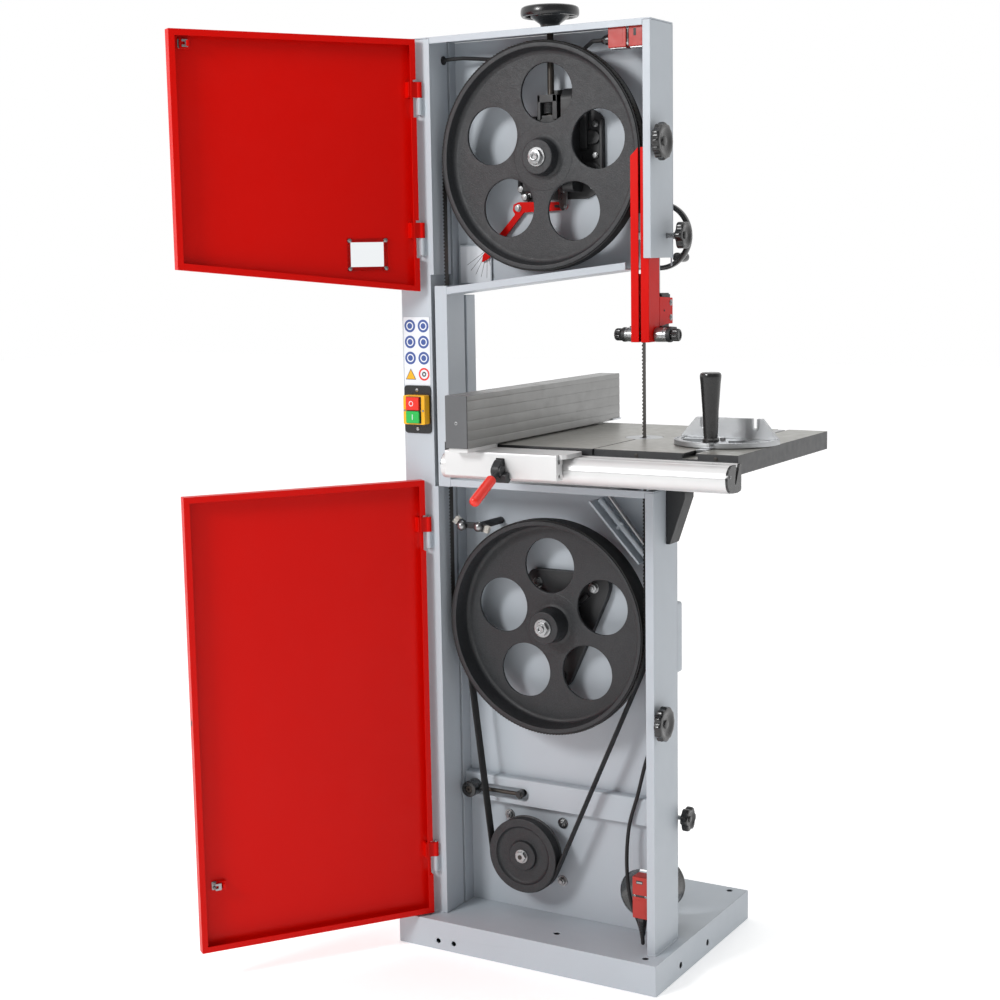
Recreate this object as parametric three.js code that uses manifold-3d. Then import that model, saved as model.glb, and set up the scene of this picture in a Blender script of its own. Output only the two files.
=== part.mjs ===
// A floor-standing band saw with 400 mm wheels, both cabinet doors open.
// Millimetres. X runs to the right, Y to the back, Z up. The origin is the
// centre of the underside of the base.
import * as THREE from "three";
import { mergeVertices } from "three/addons/utils/BufferGeometryUtils.js";
import Module from "manifold-3d";

const wasm = await Module();
wasm.setup();

// ---------------------------------------------------------------- dimensions
const GAP = 0.3;                        // between touching pieces

const BASE = { width: 549, depth: 426, height: 58, wall: 3 };

const CABINET = { front: -172.4, sheet: 2.5, left: -189, lip: 13 };
const LOWER = { right: 254, back: -76, top: 905, floor: BASE.height + GAP, flange: 16.5 };
const UPPER = { right: 251.4, back: -84.5, top: 1706.6, postFoot: 1307, flange: 14.7 };
const BELLY = { left: -162, right: 202, z: 1246.7, slope: 0.1114 };   // sloping underside of the upper box
const SPINE = { left: -261, right: -196, split: -111, rearFront: -104, back: -73.3, wall: 3 };
const THROAT = { left: -188, right: -162, foot: 891, top: 1262, sheet: 1.5 };

const WHEEL = { x: 26.4, upperZ: 1486.2, lowerZ: 639.6, radius: 200, front: -162.1, width: 28, tyre: 3 };
const UPPER_WEB = { front: -142.1, holes: 5, holeRadius: 51.5, circle: 112.5, turn: 14.2 };
const LOWER_WEB = { front: -127.1, holes: 5, holeRadius: 51, circle: 109.6, turn: 21.4 };
const WEB = 8;                          // thickness of a wheel's web
const AXLE = { radius: 11.5, bore: 12 };
const BLADE = { front: -160, back: -145, thickness: 0.8 };
const DRIVE = {
  radius: 192, front: -134.1, back: -113, motorRadius: 69, motorX: -41, motorZ: 186.5, belt: 4,
};
const MOTOR = { radius: 78, front: -72, length: 205 };
const DUST = { x: 184, z: 130.5, radius: 50, back: 3 };

const DOOR = { from: 8, width: 464, sheet: 1.5, front: -13, rim: 19, hingeX: -208, hingeY: -179.5 };
const UPPER_DOOR = { foot: 1251.5, footRise: 48.5, top: 1703, openAngle: 122 };
const LOWER_DOOR = { foot: 62, top: 903, openAngle: 125.4 };
const WINDOW = { from: 72, to: 137, foot: 1299, top: 1343 };

const GUIDE = { left: 210.5, right: 245, front: -168, back: -125.5, foot: 1163, sheet: 2.5 };
const GUIDE_WHEEL = { x: 202.4, z: 1345, front: -37, back: -25, radius: 61 };
const GUIDE_LOCK = { y: -108, z: 1345 };
const DOOR_KNOB = { x: 256.5, y: -160, upperZ: 1502.4, lowerZ: 488.5 };

const TABLE = { left: -64, right: 484, front: -344, back: 62, top: 997, plate: 10, rim: 32, rimWall: 8 };
const TILT = { x: 226.6, radius: 75, front: -125, back: -82 };
const INSERT = { y: -150, radius: 33, thickness: 3 };
const SLOT = { x: 401, width: 26, neck: 20, depth: 9 };
const RAIL = { left: -38, right: 490, top: 985, foot: 940, front: -400, back: -344.4 };
const FENCE = { right: 50.5, width: 42, front: -455, back: 105, foot: 1000, height: 88, wall: 4 };
const MITRE = { x: 401, y: -190, radius: 90, plate: 8, faceWidth: 128, faceTop: 1040 };

const SWITCH = { left: -258, right: -200, foot: 989, top: 1078 };

// -------------------------------------------------------------------- colours
const FRAME_GREY = [0x9aa3ab, 0.5, 0.0];
const DOOR_RED = [0xc4140a, 0.3, 0.0];
const CHARCOAL = [0x35373a, 0.6, 0.1];
const BLACK = [0x101112, 0.4, 0.0];
const RUBBER = [0x1a1a1a, 0.85, 0.0];
const STEEL = [0xb9bcc0, 0.3, 1.0];
const IRON = [0x8d8b86, 0.45, 0.8];
const ALUMINIUM = [0xd2d4d6, 0.35, 1.0];
const BRICK = [0xa8281c, 0.5, 0.0];
const YELLOW = [0xe8a613, 0.45, 0.0];
const GREEN = [0x16953f, 0.45, 0.0];
const CLEAR = [0xdde6ea, 0.1, 0.0];

// ------------------------------------------------------------ solid modelling
function solid(geometry) {
  const bare = geometry.index ? geometry.toNonIndexed() : geometry.clone();
  for (const name of Object.keys(bare.attributes)) {
    if (name !== "position") bare.deleteAttribute(name);
  }
  const merged = mergeVertices(bare, 1e-4);
  const mesh = new wasm.Mesh({
    numProp: 3,
    vertProperties: new Float32Array(merged.attributes.position.array),
    triVerts: new Uint32Array(merged.index.array),
  });
  return new wasm.Manifold(mesh);
}

function geometryOf(body) {
  const mesh = body.getMesh();
  const geometry = new THREE.BufferGeometry();
  geometry.setAttribute("position", new THREE.BufferAttribute(mesh.vertProperties, 3));
  geometry.setIndex(new THREE.BufferAttribute(mesh.triVerts, 1));
  geometry.computeVertexNormals();
  return geometry;
}

// A box between two opposite corners.
function block(x0, x1, y0, y1, z0, z1) {
  const geometry = new THREE.BoxGeometry(x1 - x0, y1 - y0, z1 - z0);
  return solid(geometry.translate((x0 + x1) / 2, (y0 + y1) / 2, (z0 + z1) / 2));
}

// A round bar whose axis runs along X, Y or Z from `from` to `to`. `a` and `b`
// are the other two coordinates of the axis, in X, Y, Z order.
function bar(axis, from, to, a, b, radius, sides = 32, endRadius = radius) {
  const length = to - from;
  const geometry = new THREE.CylinderGeometry(endRadius, radius, length, sides);
  const middle = (from + to) / 2;
  if (axis === "x") return solid(geometry.rotateZ(-Math.PI / 2).translate(middle, a, b));
  if (axis === "y") return solid(geometry.translate(a, middle, b));
  return solid(geometry.rotateX(Math.PI / 2).translate(a, b, middle));
}

// A round bar from one point to another.
function strut(start, end, radius, sides = 16) {
  const a = new THREE.Vector3(...start);
  const b = new THREE.Vector3(...end);
  const geometry = new THREE.CylinderGeometry(radius, radius, a.distanceTo(b), sides);
  const heading = b.clone().sub(a).normalize();
  geometry.applyQuaternion(new THREE.Quaternion().setFromUnitVectors(new THREE.Vector3(0, 1, 0), heading));
  const middle = a.add(b).multiplyScalar(0.5);
  return solid(geometry.translate(middle.x, middle.y, middle.z));
}

// An outline in X and Z, given depth along Y.
function plateXZ(points, y0, y1) {
  const shape = new THREE.Shape(points.map(([x, z]) => new THREE.Vector2(x, z)));
  const geometry = new THREE.ExtrudeGeometry(shape, { depth: y1 - y0, bevelEnabled: false });
  return solid(geometry.rotateX(Math.PI / 2).translate(0, y1, 0));
}

// An outline in X and Y, given height along Z.
function plateXY(points, z0, z1) {
  const shape = new THREE.Shape(points.map(([x, y]) => new THREE.Vector2(x, y)));
  const geometry = new THREE.ExtrudeGeometry(shape, { depth: z1 - z0, bevelEnabled: false });
  return solid(geometry.translate(0, 0, z0));
}

// An outline in Y and Z, given width along X.
function plateYZ(points, x0, x1) {
  const shape = new THREE.Shape(points.map(([y, z]) => new THREE.Vector2(y, z)));
  const geometry = new THREE.ExtrudeGeometry(shape, { depth: x1 - x0, bevelEnabled: false });
  const columns = new THREE.Matrix4().makeBasis(
    new THREE.Vector3(0, 1, 0), new THREE.Vector3(0, 0, 1), new THREE.Vector3(1, 0, 0));
  return solid(geometry.applyMatrix4(columns).translate(x0, 0, 0));
}

// A ring turned about the Y axis: `profile` holds [radius, y] points and
// closes on itself.
function turnedY(profile, x, z, segments = 36) {
  const points = profile.map(([r, y]) => new THREE.Vector2(r, y));
  points.push(points[0].clone());
  return solid(new THREE.LatheGeometry(points, segments).translate(x, 0, z));
}

function join(...bodies) {
  return bodies.reduce((sum, body) => sum.add(body));
}

function cut(body, ...tools) {
  return tools.reduce((rest, tool) => rest.subtract(tool), body);
}

// Points on a circle, in degrees from the first axis of its plane.
function arc(cx, cz, radius, from, to, steps) {
  return Array.from({ length: steps + 1 }, (_, i) => {
    const angle = THREE.MathUtils.degToRad(from + (to - from) * i / steps);
    return [cx + radius * Math.cos(angle), cz + radius * Math.sin(angle)];
  });
}

const saw = new THREE.Group();
saw.name = "band_saw";

function piece(name, body, [color, roughness, metalness], parent = saw) {
  const material = new THREE.MeshStandardMaterial({ color, roughness, metalness });
  const mesh = new THREE.Mesh(geometryOf(body), material);
  mesh.name = name;
  parent.add(mesh);
}

// --------------------------------------------------------------- base and spine
function basePlinth() {
  const { width, depth, height, wall } = BASE;
  const [x, y] = [width / 2, depth / 2];
  const hollow = block(-x + wall, x - wall, -y + wall, y - wall, wall, height - wall);
  const holes = [
    bar("y", -y - 1, -y + wall + 1, -185.5, 17.6, 5, 10),
    bar("y", -y - 1, -y + wall + 1, -151, 17.6, 5, 10),
    bar("x", x - wall - 1, x + 1, -106, 21, 6, 10),
    bar("x", x - wall - 1, x + 1, 15, 21, 6, 10),
  ];
  for (const [hx, hy] of [[45, -160], [242, 195], [-242, 195], [242, -188]]) {
    holes.push(bar("z", height - wall - 1, height + 1, hx, hy, 6, 10));
  }
  return cut(block(-x, x, -y, y, 0, height), hollow, ...holes);
}

// The fixed half of a lift-off door hinge: a knuckle on a tab off the spine.
function fixedKnuckle(z0, z1) {
  const tab = block(DOOR.hingeX - 4, DOOR.hingeX + 4, DOOR.hingeY, CABINET.front + 1, z0, z1);
  return join(bar("z", z0, z1, DOOR.hingeX, DOOR.hingeY, 5.5, 16), tab);
}

const HINGES = {
  lower: [[774, 805], [143, 173]],
  upper: [[1569, 1600], [1317, 1349]],
};

function spineColumn() {
  const { left, right, split, rearFront, back, wall } = SPINE;
  const z0 = LOWER.floor;
  const z1 = UPPER.top - CABINET.sheet - GAP;
  const hollowed = (x0, x1, y0, y1) => cut(
    block(x0, x1, y0, y1, z0, z1),
    block(x0 + wall, x1 - wall, y0 + wall, y1 - wall, z0 - 1, z1 + 1));
  const seam = block(left + 6, left + 40, split - 1, rearFront + 1, z0, z1);
  const jamb = (a, b) => block(right - 1, CABINET.left, CABINET.front, split, a, b);
  const throatTop = bellyZ(CABINET.left) - GAP;
  const inThroat = block(CABINET.left - 2, THROAT.right, rearFront, back, LOWER.top + GAP, throatTop);
  const knuckles = [...HINGES.lower, ...HINGES.upper].map(([a, b]) => fixedKnuckle(a, b));
  return join(
    hollowed(left, right, CABINET.front, split),
    hollowed(left, CABINET.left, rearFront, back),
    seam,
    inThroat,
    jamb(z0, THROAT.foot - GAP),
    jamb(THROAT.top + 20, z1),
    ...knuckles);
}

// Folded cover over the blade's return run in the throat, open towards the spine.
function throatCover() {
  const { left, right, foot, top, sheet } = THROAT;
  const [front, back] = [CABINET.front, SPINE.split - 1];
  const tall = block(left, right, front, back, foot, top);
  return cut(tall, block(left - 1, right - sheet, front + sheet, back - sheet, foot - 1, top + 1));
}

// ----------------------------------------------------------------- lower cabinet
function lowerBackPanel() {
  const { right, back, top, floor } = LOWER;
  const panel = block(CABINET.left + GAP, right, back, back + CABINET.sheet, floor, top);
  const shaft = bar("y", back - 5, back + 5, DRIVE.motorX, DRIVE.motorZ, 40, 32);
  const duct = bar("y", back - 5, back + 5, DUST.x, DUST.z, DUST.radius - 2, 40);
  return cut(panel, shaft, duct);
}

// Front flange and side wall folded from one sheet.
function foldedPost({ right, back, flange }, z0, z1) {
  const { front, sheet } = CABINET;
  const backEdge = back - GAP;
  return join(
    block(right - flange, right, front, front + sheet, z0, z1),
    block(right - sheet, right, front, backEdge, z0, z1));
}

function lowerRightPost() {
  const { right, top, floor } = LOWER;
  const stud = (y, z) => bar("x", right - 10, right + 10, y, z, 4.5, 16);
  return cut(foldedPost(LOWER, floor, top - CABINET.sheet - GAP), stud(DOOR_KNOB.y, DOOR_KNOB.lowerZ));
}

function lowerTopWall() {
  const { right, back, top } = LOWER;
  const { front, sheet, lip } = CABINET;
  const x0 = THROAT.right + GAP;
  const wall = block(x0, right, front, back - GAP, top - sheet, top);
  const lipStrip = block(x0, right - LOWER.flange - GAP, front, front + sheet, top - lip, top);
  const bladeSlot = block(TILT.x - 12, TILT.x + 12, front + 6, -120, top - 20, top + 5);
  return cut(join(wall, lipStrip), bladeSlot);
}

// Tie across the back panel, with the slot that the belt lever's pin runs in.
function crossbar() {
  const tie = block(CABINET.left + GAP, LOWER.right - CABINET.sheet - GAP, -96, LOWER.back - GAP, 271, 322);
  const slot = block(-166, -53, -97, -91, 280, 304);
  return cut(tie, slot);
}

// Shallow cover behind the right post.
function rearCover() {
  const start = LOWER.back + CABINET.sheet + GAP;
  return block(192, LOWER.right, start, -54.5, 560, 690);
}

// Sloping plate that guards the top right of the lower wheel, with its stay rod.
function bladeDeflector() {
  const outline = [[104, 872], [203, 765], [206, 767.8], [107, 874.8]];
  const plate = plateXZ(outline, -130, LOWER.back - GAP);
  const rod = strut([118, -112, 876], [216, -112, 770], 5);
  const tie = strut([150, -112, 823], [164, -112, 836], 4, 10);
  return join(plate, rod, tie);
}

// ----------------------------------------------------------------- upper cabinet
const bellyZ = (x) => BELLY.z + BELLY.slope * (x - BELLY.left);

function upperBackPanel() {
  const { right, back, top } = UPPER;
  const x0 = CABINET.left + GAP;
  const outline = [[x0, bellyZ(x0)], [right, bellyZ(right)], [right, top - 3], [x0, top - 3]];
  const panel = plateXZ(outline, back, back + CABINET.sheet);
  const notch = block(212, 247, back - 5, back + 5, 1200, 1375);
  const corner = block(right - 2, right + 5, back - 5, back + 5, 1200, UPPER.postFoot);
  const { x, z } = GUIDE_WHEEL;
  const shaft = block(x - 13, 213, back - 5, back + 5, z - 20, z + 20);
  return cut(panel, notch, corner, shaft);
}

function upperTopWall() {
  const { right, back, top, flange } = UPPER;
  const { front, sheet } = CABINET;
  const wall = block(SPINE.left, right, front, back + sheet, top - sheet, top);
  const lip = block(CABINET.left + GAP, right - flange - GAP, front, front + sheet, top - 11.5, top);
  return cut(join(wall, lip), bar("z", top - 10, top + 10, WHEEL.x, -110, 9, 24));
}

function upperRightPost() {
  const post = foldedPost(UPPER, UPPER.postFoot, UPPER.top - CABINET.sheet - GAP);
  const studs = [[DOOR_KNOB.y, DOOR_KNOB.upperZ], [GUIDE_LOCK.y, GUIDE_LOCK.z]];
  return cut(post, ...studs.map(([y, z]) => bar("x", 240, 260, y, z, 4.5, 16)));
}

function upperBellyWall() {
  const { front, sheet } = CABINET;
  const { left, right } = BELLY;
  const [z0, z1] = [bellyZ(left), bellyZ(right)];
  const wide = (thick, y0, y1) => plateXZ(
    [[left, z0], [right, z1], [right, z1 + thick], [left, z0 + thick]], y0, y1);
  return join(wide(sheet, front, UPPER.back - GAP), wide(CABINET.lip, front, front + sheet));
}

// ------------------------------------------------------------- wheels and drive
// A dished wheel: a rim, a web set back inside it with round holes, and a
// tapered boss. `rear` is the rest of the profile, from the rim's back edge.
function wheelCasting(z, web, rear) {
  const { x, front, radius, tyre, width } = WHEEL;
  const rim = radius - tyre;
  const profile = [
    [AXLE.bore, front - 3], [30, front - 3], [32.7, web.front], [rim - 12, web.front],
    [rim - 7.5, front], [rim, front], [rim, front + width], ...rear,
  ];
  const holes = [];
  for (let i = 0; i < web.holes; i += 1) {
    const angle = THREE.MathUtils.degToRad(web.turn + i * 360 / web.holes);
    const hx = x + web.circle * Math.cos(angle);
    const hz = z + web.circle * Math.sin(angle);
    holes.push(bar("y", web.front - 2, web.front + WEB + 2, hx, hz, web.holeRadius, 24));
  }
  return cut(turnedY(profile, x, z), ...holes);
}

function upperWheel() {
  return wheelCasting(WHEEL.upperZ, UPPER_WEB, [[AXLE.bore, UPPER_WEB.front + WEB]]);
}

// The lower wheel carries the belt on a seat behind its rim.
function lowerWheel() {
  const { radius, front, back } = DRIVE;
  const webBack = LOWER_WEB.front + WEB;
  return wheelCasting(WHEEL.lowerZ, LOWER_WEB, [
    [radius, front + 0.4], [radius, back], [radius + 3, back + 1], [radius + 3, back + 3],
    [180, back + 3], [180, webBack], [36, webBack], [36, webBack + 11], [AXLE.bore, webBack + 11],
  ]);
}

function tyreRing(z) {
  const { x, front, radius, tyre, width } = WHEEL;
  const inner = radius - tyre + GAP;
  const back = front + width;
  return turnedY([[inner, front + 2], [radius, front + 1], [radius, back - 1], [inner, back - 2]], x, z);
}

function motorPulley() {
  const { motorRadius, front, back, motorX, motorZ } = DRIVE;
  const profile = [
    [13, front - 4], [28, front - 4], [28, front + 4], [56, front + 4], [58, front - 3],
    [motorRadius + 3, front - 3], [motorRadius, front], [motorRadius, back], [motorRadius + 3, back + 3],
    [58, back + 3], [54, front + 10], [13, front + 10],
  ];
  const cap = bar("y", front - 12, back, motorX, motorZ, 13.5, 24);
  return join(turnedY(profile, motorX, motorZ, 28), cap);
}

// A flat loop round two circles: the outline of a belt or a blade.
function loopOutline(c1, r1, c2, r2, steps) {
  const [dx, dz] = [c2[0] - c1[0], c2[1] - c1[1]];
  const heading = THREE.MathUtils.radToDeg(Math.atan2(dz, dx));
  const lean = THREE.MathUtils.radToDeg(Math.acos((r1 - r2) / Math.hypot(dx, dz)));
  return [
    ...arc(c1[0], c1[1], r1, heading + lean, heading + 360 - lean, steps),
    ...arc(c2[0], c2[1], r2, heading - lean, heading + lean, Math.round(steps * 0.8)),
  ];
}

function band(c1, r1, c2, r2, thickness, y0, y1, steps) {
  const outer = plateXZ(loopOutline(c1, r1 + thickness, c2, r2 + thickness, steps), y0, y1);
  const inner = plateXZ(loopOutline(c1, r1, c2, r2, steps), y0 - 1, y1 + 1);
  return cut(outer, inner);
}

// The tyres' facets lie inside the true circle, so the loops clear them by GAP.
function bladeLoop() {
  const r = WHEEL.radius + GAP + 0.1;
  const { x, upperZ, lowerZ } = WHEEL;
  return band([x, upperZ], r, [x, lowerZ], r, BLADE.thickness, BLADE.front, BLADE.back, 36);
}

function driveBelt() {
  const { radius, motorRadius, motorX, motorZ, belt, front, back } = DRIVE;
  const big = radius + GAP + 0.2;
  const small = motorRadius + GAP + 0.3;
  return band([WHEEL.x, WHEEL.lowerZ], big, [motorX, motorZ], small, belt, front + 1, back - 1, 32);
}

function hexagon(y0, y1, x, z, acrossFlats) {
  return bar("y", y0, y1, x, z, acrossFlats / Math.sqrt(3), 6);
}

function axleWithNut(z, root) {
  const { x, front } = WHEEL;
  const face = front - 3 - GAP;
  const shaft = bar("y", face - 1, root, x, z, AXLE.radius, 32);
  const washer = bar("y", face - 2.5, face, x, z, 17, 32);
  const nut = hexagon(face - 9.2, face - 2.4, x, z, 24);
  const stud = bar("y", face - 12.2, face - 9, x, z, 7.5, 20);
  return join(shaft, washer, nut, stud);
}

// The lower axle with the three-cornered casting that carries it.
function lowerAxle() {
  const outline = [
    [-34, 734], [108, 734], [122, 726], [126, 712], [121, 692], [42, 523], [34, 514], [22, 511],
    [12, 514], [6, 523], [-40, 692], [-46, 712], [-43, 727],
  ];
  return join(axleWithNut(WHEEL.lowerZ, -80), plateXZ(outline, -92, LOWER.back - GAP));
}

// Motor with ribs along its body, its foot plate and its fan cover.
function motor() {
  const { radius, front, length } = MOTOR;
  const { motorX: x, motorZ: z } = DRIVE;
  const parts = [
    bar("y", front + 12, front + length, x, z, radius - 6, 40),
    bar("y", front + length - 48, front + length, x, z, radius, 40, radius - 4),
    block(x - 72, x + 72, front - 1.2, front + 14, z - 72, z + 72),
    bar("y", DRIVE.back + GAP, front + 14, x, z, 12, 24),
    block(x - 30, x + 30, front + 50, front + 130, z + radius - 12, z + radius + 34),
  ];
  for (let i = 0; i < 18; i += 1) {
    const angle = i * 20;
    const rib = block(radius - 8, radius - 1, front + 22, front + length - 52, -1.5, 1.5);
    parts.push(rib.rotate([0, -angle, 0]).translate([x, 0, z]));
  }
  return join(...parts);
}

function dustPort() {
  const { x, z, radius, back } = DUST;
  const start = LOWER.back + CABINET.sheet + GAP;
  const tube = join(
    bar("y", start, back, x, z, radius, 48),
    block(x - 60, x + 60, start, start + 3, z - 60, z + 60));
  return cut(tube, bar("y", start - 1, back + 1, x, z, radius - 2.5, 48));
}

// ------------------------------------------------------- tension and upper wheel
const SCREW = { y: -110, radius: 6, top: 1748 };

// Black slide casting bolted to the back panel: two cheeks on a wide plate.
function tensionBracket() {
  const back = UPPER.back - GAP;
  const outline = [
    [-52, 1425], [-38, 1413], [88, 1413], [110, 1424], [121, 1438], [121, 1552], [112, 1562],
    [78, 1580], [78, 1606], [-24, 1606], [-24, 1562], [-42, 1562], [-52, 1552],
  ];
  const cheeks = [[-24, -2], [55, 77]].map(([a, b]) => block(a, b, -128, back - 3, 1425, 1606));
  return join(plateXZ(outline, back - 4, back), ...cheeks);
}

function wheelCarriage() {
  const { x, upperZ } = WHEEL;
  const slide = block(x - 22, x + 22, -128, -92, upperZ - 42, upperZ + 110);
  const bore = bar("z", upperZ + 40, upperZ + 120, x, SCREW.y, SCREW.radius + 1, 20);
  return cut(join(slide, axleWithNut(upperZ, -120)), bore);
}

function tensionHandwheel() {
  const { x } = WHEEL;
  const { y, radius, top } = SCREW;
  const parts = [
    bar("z", 1552, top - 10, x, y, radius, 20),
    bar("z", UPPER.top + GAP, top - 14, x, y, 17, 24),
    bar("z", top - 18, top, x, y, 46, 32),
  ];
  for (let i = 0; i < 8; i += 1) {
    const angle = i * Math.PI / 4;
    parts.push(bar("z", top - 17, top - 1, x + 44 * Math.cos(angle), y + 44 * Math.sin(angle), 8, 10));
  }
  return join(...parts);
}

// Red bell crank: one arm follows the wheel carriage, the other is the pointer.
const POINTER = { x: -53, z: 1401, y0: -94, y1: -91, tip: [-133, 1308], tail: [49, 1402] };

function tensionPointer() {
  const { x, z, y0, y1, tip, tail } = POINTER;
  const outline = [
    [x - 9, z - 9], tip, [tip[0] + 7, tip[1] - 4], [x + 6, z - 13], [tail[0] - 4, tail[1] - 8],
    [tail[0], tail[1]], [tail[0] - 4, tail[1] + 7], [x + 4, z + 10], [x - 8, z + 7],
  ];
  return join(plateXZ(outline, y0, y1), bar("y", y0 - 6, UPPER.back - GAP, x, z, 5, 20));
}

// --------------------------------------------------------------------- knobs
// A fluted knob with its stud, axis along +X, standing on a side wall.
function flutedKnob(x, y, z, radius, depth, studFrom, lobes) {
  const parts = [
    bar("x", studFrom, x + 6, y, z, 4, 10),
    bar("x", x, x + 8, y, z, radius * 0.5, 16),
    bar("x", x + 5, x + depth, y, z, radius * 0.88, 24, radius * 0.8),
  ];
  for (let i = 0; i < lobes; i += 1) {
    const angle = i * 2 * Math.PI / lobes;
    const reach = radius * 0.82;
    const [ly, lz] = [y + reach * Math.cos(angle), z + reach * Math.sin(angle)];
    parts.push(bar("x", x + 6, x + depth - 2, ly, lz, radius * 0.18, 8));
  }
  return join(...parts);
}

// Behind the upper box: its shaft comes through the back panel and carries the
// pinion that drives the guide post's rack.
function guideHandwheel() {
  const { x, z, front, back, radius } = GUIDE_WHEEL;
  const ring = cut(
    bar("y", front, back, x, z, radius, 40),
    bar("y", front - 2, back + 2, x, z, radius - 9, 36));
  const parts = [
    ring,
    bar("y", -116, -100, x, z, 8.2, 16),
    bar("y", -101, back, x, z, 6, 16),
    bar("y", UPPER.back + CABINET.sheet + GAP, back + 2, x, z, 15, 24),
    bar("y", back - 4, 4, x + 33, z - 38, 7, 16, 9),
  ];
  for (let i = 0; i < 3; i += 1) {
    const spoke = block(0, radius - 4, front + 2, back - 2, -6, 6);
    parts.push(spoke.rotate([0, 120 * i, 0]).translate([x, 0, z]));
  }
  return join(...parts);
}

// ------------------------------------------------------------- blade guide
// Red folded channel round the blade, open at the front between its two strips.
function bladeGuard() {
  const { left, right, front, back, foot, sheet } = GUIDE;
  const stripBack = front + sheet;
  const slot = [225.3, 229.5];
  const leftStrip = plateXZ([[left, foot], [slot[0], foot], [slot[0], 1494], [left, 1480]], front, stripBack);
  const rightStrip = block(slot[1], right, front, stripBack, foot, 1494);
  const side = block(right - sheet, right, front, back, foot, 1494);
  const web = block(slot[1] + 2, right, back - sheet, back, foot, 1494);
  const shortWall = block(left, left + sheet, front, back, foot, 1280);
  const sill = cut(
    block(left, right, front, back, foot, foot + sheet),
    block(slot[0] - 1, slot[1] + 1, front - 1, -140, foot - 1, foot + 5));
  return join(leftStrip, rightStrip, side, web, shortWall, sill);
}

const POST = { x0: 214, x1: 234, y0: -118, y1: -98, foot: 1246, top: 1588 };

function guidePost() {
  const rack = [];
  for (let i = 0; i < 24; i += 1) {
    const z = 1258 + i * 13.5;
    rack.push(block(POST.x0 - 3, POST.x0 + 1, -112, -104, z, z + 6.5));
  }
  return join(block(POST.x0, POST.x1, POST.y0, POST.y1, POST.foot, POST.top), ...rack);
}

// Casting that holds the guide post inside the upper box.
function guidePostHolder() {
  const body = block(201, 244, -119.5, UPPER.back - GAP, 1384, 1420);
  return cut(body, block(POST.x0 - 4.5, POST.x1 + 1, POST.y0 - 3, POST.y1 + 1, 1370, 1430));
}

function bladeGuides() {
  const y = -140;
  const z = 1176;
  const crossBlock = block(184, 268, GUIDE.back + GAP, -98, 1164, 1190);
  const arms = [[188, 209.9], [245.6, 264]].map(([a, b]) => block(a, b, -152, -120, 1168, 1184));
  const riser = block(220, 240, -107, -60, 1185, POST.foot - GAP);
  const sleeves = [
    bar("x", 184, 210, y, z, 12.5, 18),
    bar("x", 245.6, 266, y, z, 12.5, 18),
    bar("x", 168, 185, y, z, 11, 16),
    bar("x", 265, 290, y, z, 11, 16),
  ];
  return join(crossBlock, riser, ...arms, ...sleeves);
}

// --------------------------------------------------------------------- doors
// A folded tray: panel in front, rim turned back all round. Drawn closed, with
// the hinge axis at the origin of X and Y.
function doorTray(foot, footRise, top) {
  const { from: x0, width: x1, sheet, front, rim } = DOOR;
  const back = front + rim;
  const rise = (x) => foot + footRise * x;
  const outline = (inset) => [
    [x0 + inset, rise(x0) + inset], [x1 - inset, rise(x1) + inset],
    [x1 - inset, top - inset], [x0 + inset, top - inset]];
  const shell = plateXZ(outline(0), front, back);
  const hollow = plateXZ(outline(sheet), front + sheet, back + 1);
  const lips = plateXZ(outline(0), back - sheet, back);
  const mouth = plateXZ(outline(11), back - 3, back + 1);
  return join(cut(shell, hollow), cut(lips, mouth));
}

function movingKnuckles(pairs) {
  return pairs.map(([, z]) => {
    const barrel = bar("z", z + GAP, z + 28, 0, 0, 5.5, 16);
    const arm = block(0, 22, -4, 3, z + GAP, z + 28);
    return join(barrel, arm, block(17, 22, -12.5, 0, z + GAP, z + 28));
  });
}

function clearKnuckles(body, pairs) {
  return cut(body, ...pairs.map(([z0, z1]) => block(-10, 16, -7, 12, z0 - 4, z1 + 32)));
}

function keyPlate(x, z) {
  return join(block(x, x + 18, -12, -4, z, z + 16), block(x + 4, x + 8, -6, 5, z + 3, z + 13));
}

function upperDoor() {
  const slope = UPPER_DOOR.footRise / DOOR.width;
  const tray = clearKnuckles(doorTray(UPPER_DOOR.foot, slope, UPPER_DOOR.top), HINGES.upper);
  const { from, to, foot, top } = WINDOW;
  const opening = block(from, to, -40, 20, foot, top);
  return join(cut(tray, opening), ...movingKnuckles(HINGES.upper), keyPlate(424, 1672));
}

function lowerDoor() {
  const tray = clearKnuckles(doorTray(LOWER_DOOR.foot, 0, LOWER_DOOR.top), HINGES.lower);
  return join(tray, ...movingKnuckles(HINGES.lower), keyPlate(412, 174));
}

function windowPane() {
  const { from, to, foot, top } = WINDOW;
  const y = DOOR.front + DOOR.sheet + GAP;
  return block(from - 7, to + 7, y, y + 2, foot - 7, top + 7);
}

function hungDoor(angle) {
  const hinge = new THREE.Group();
  hinge.position.set(DOOR.hingeX, DOOR.hingeY, 0);
  hinge.rotation.z = THREE.MathUtils.degToRad(-angle);
  saw.add(hinge);
  return hinge;
}

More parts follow.
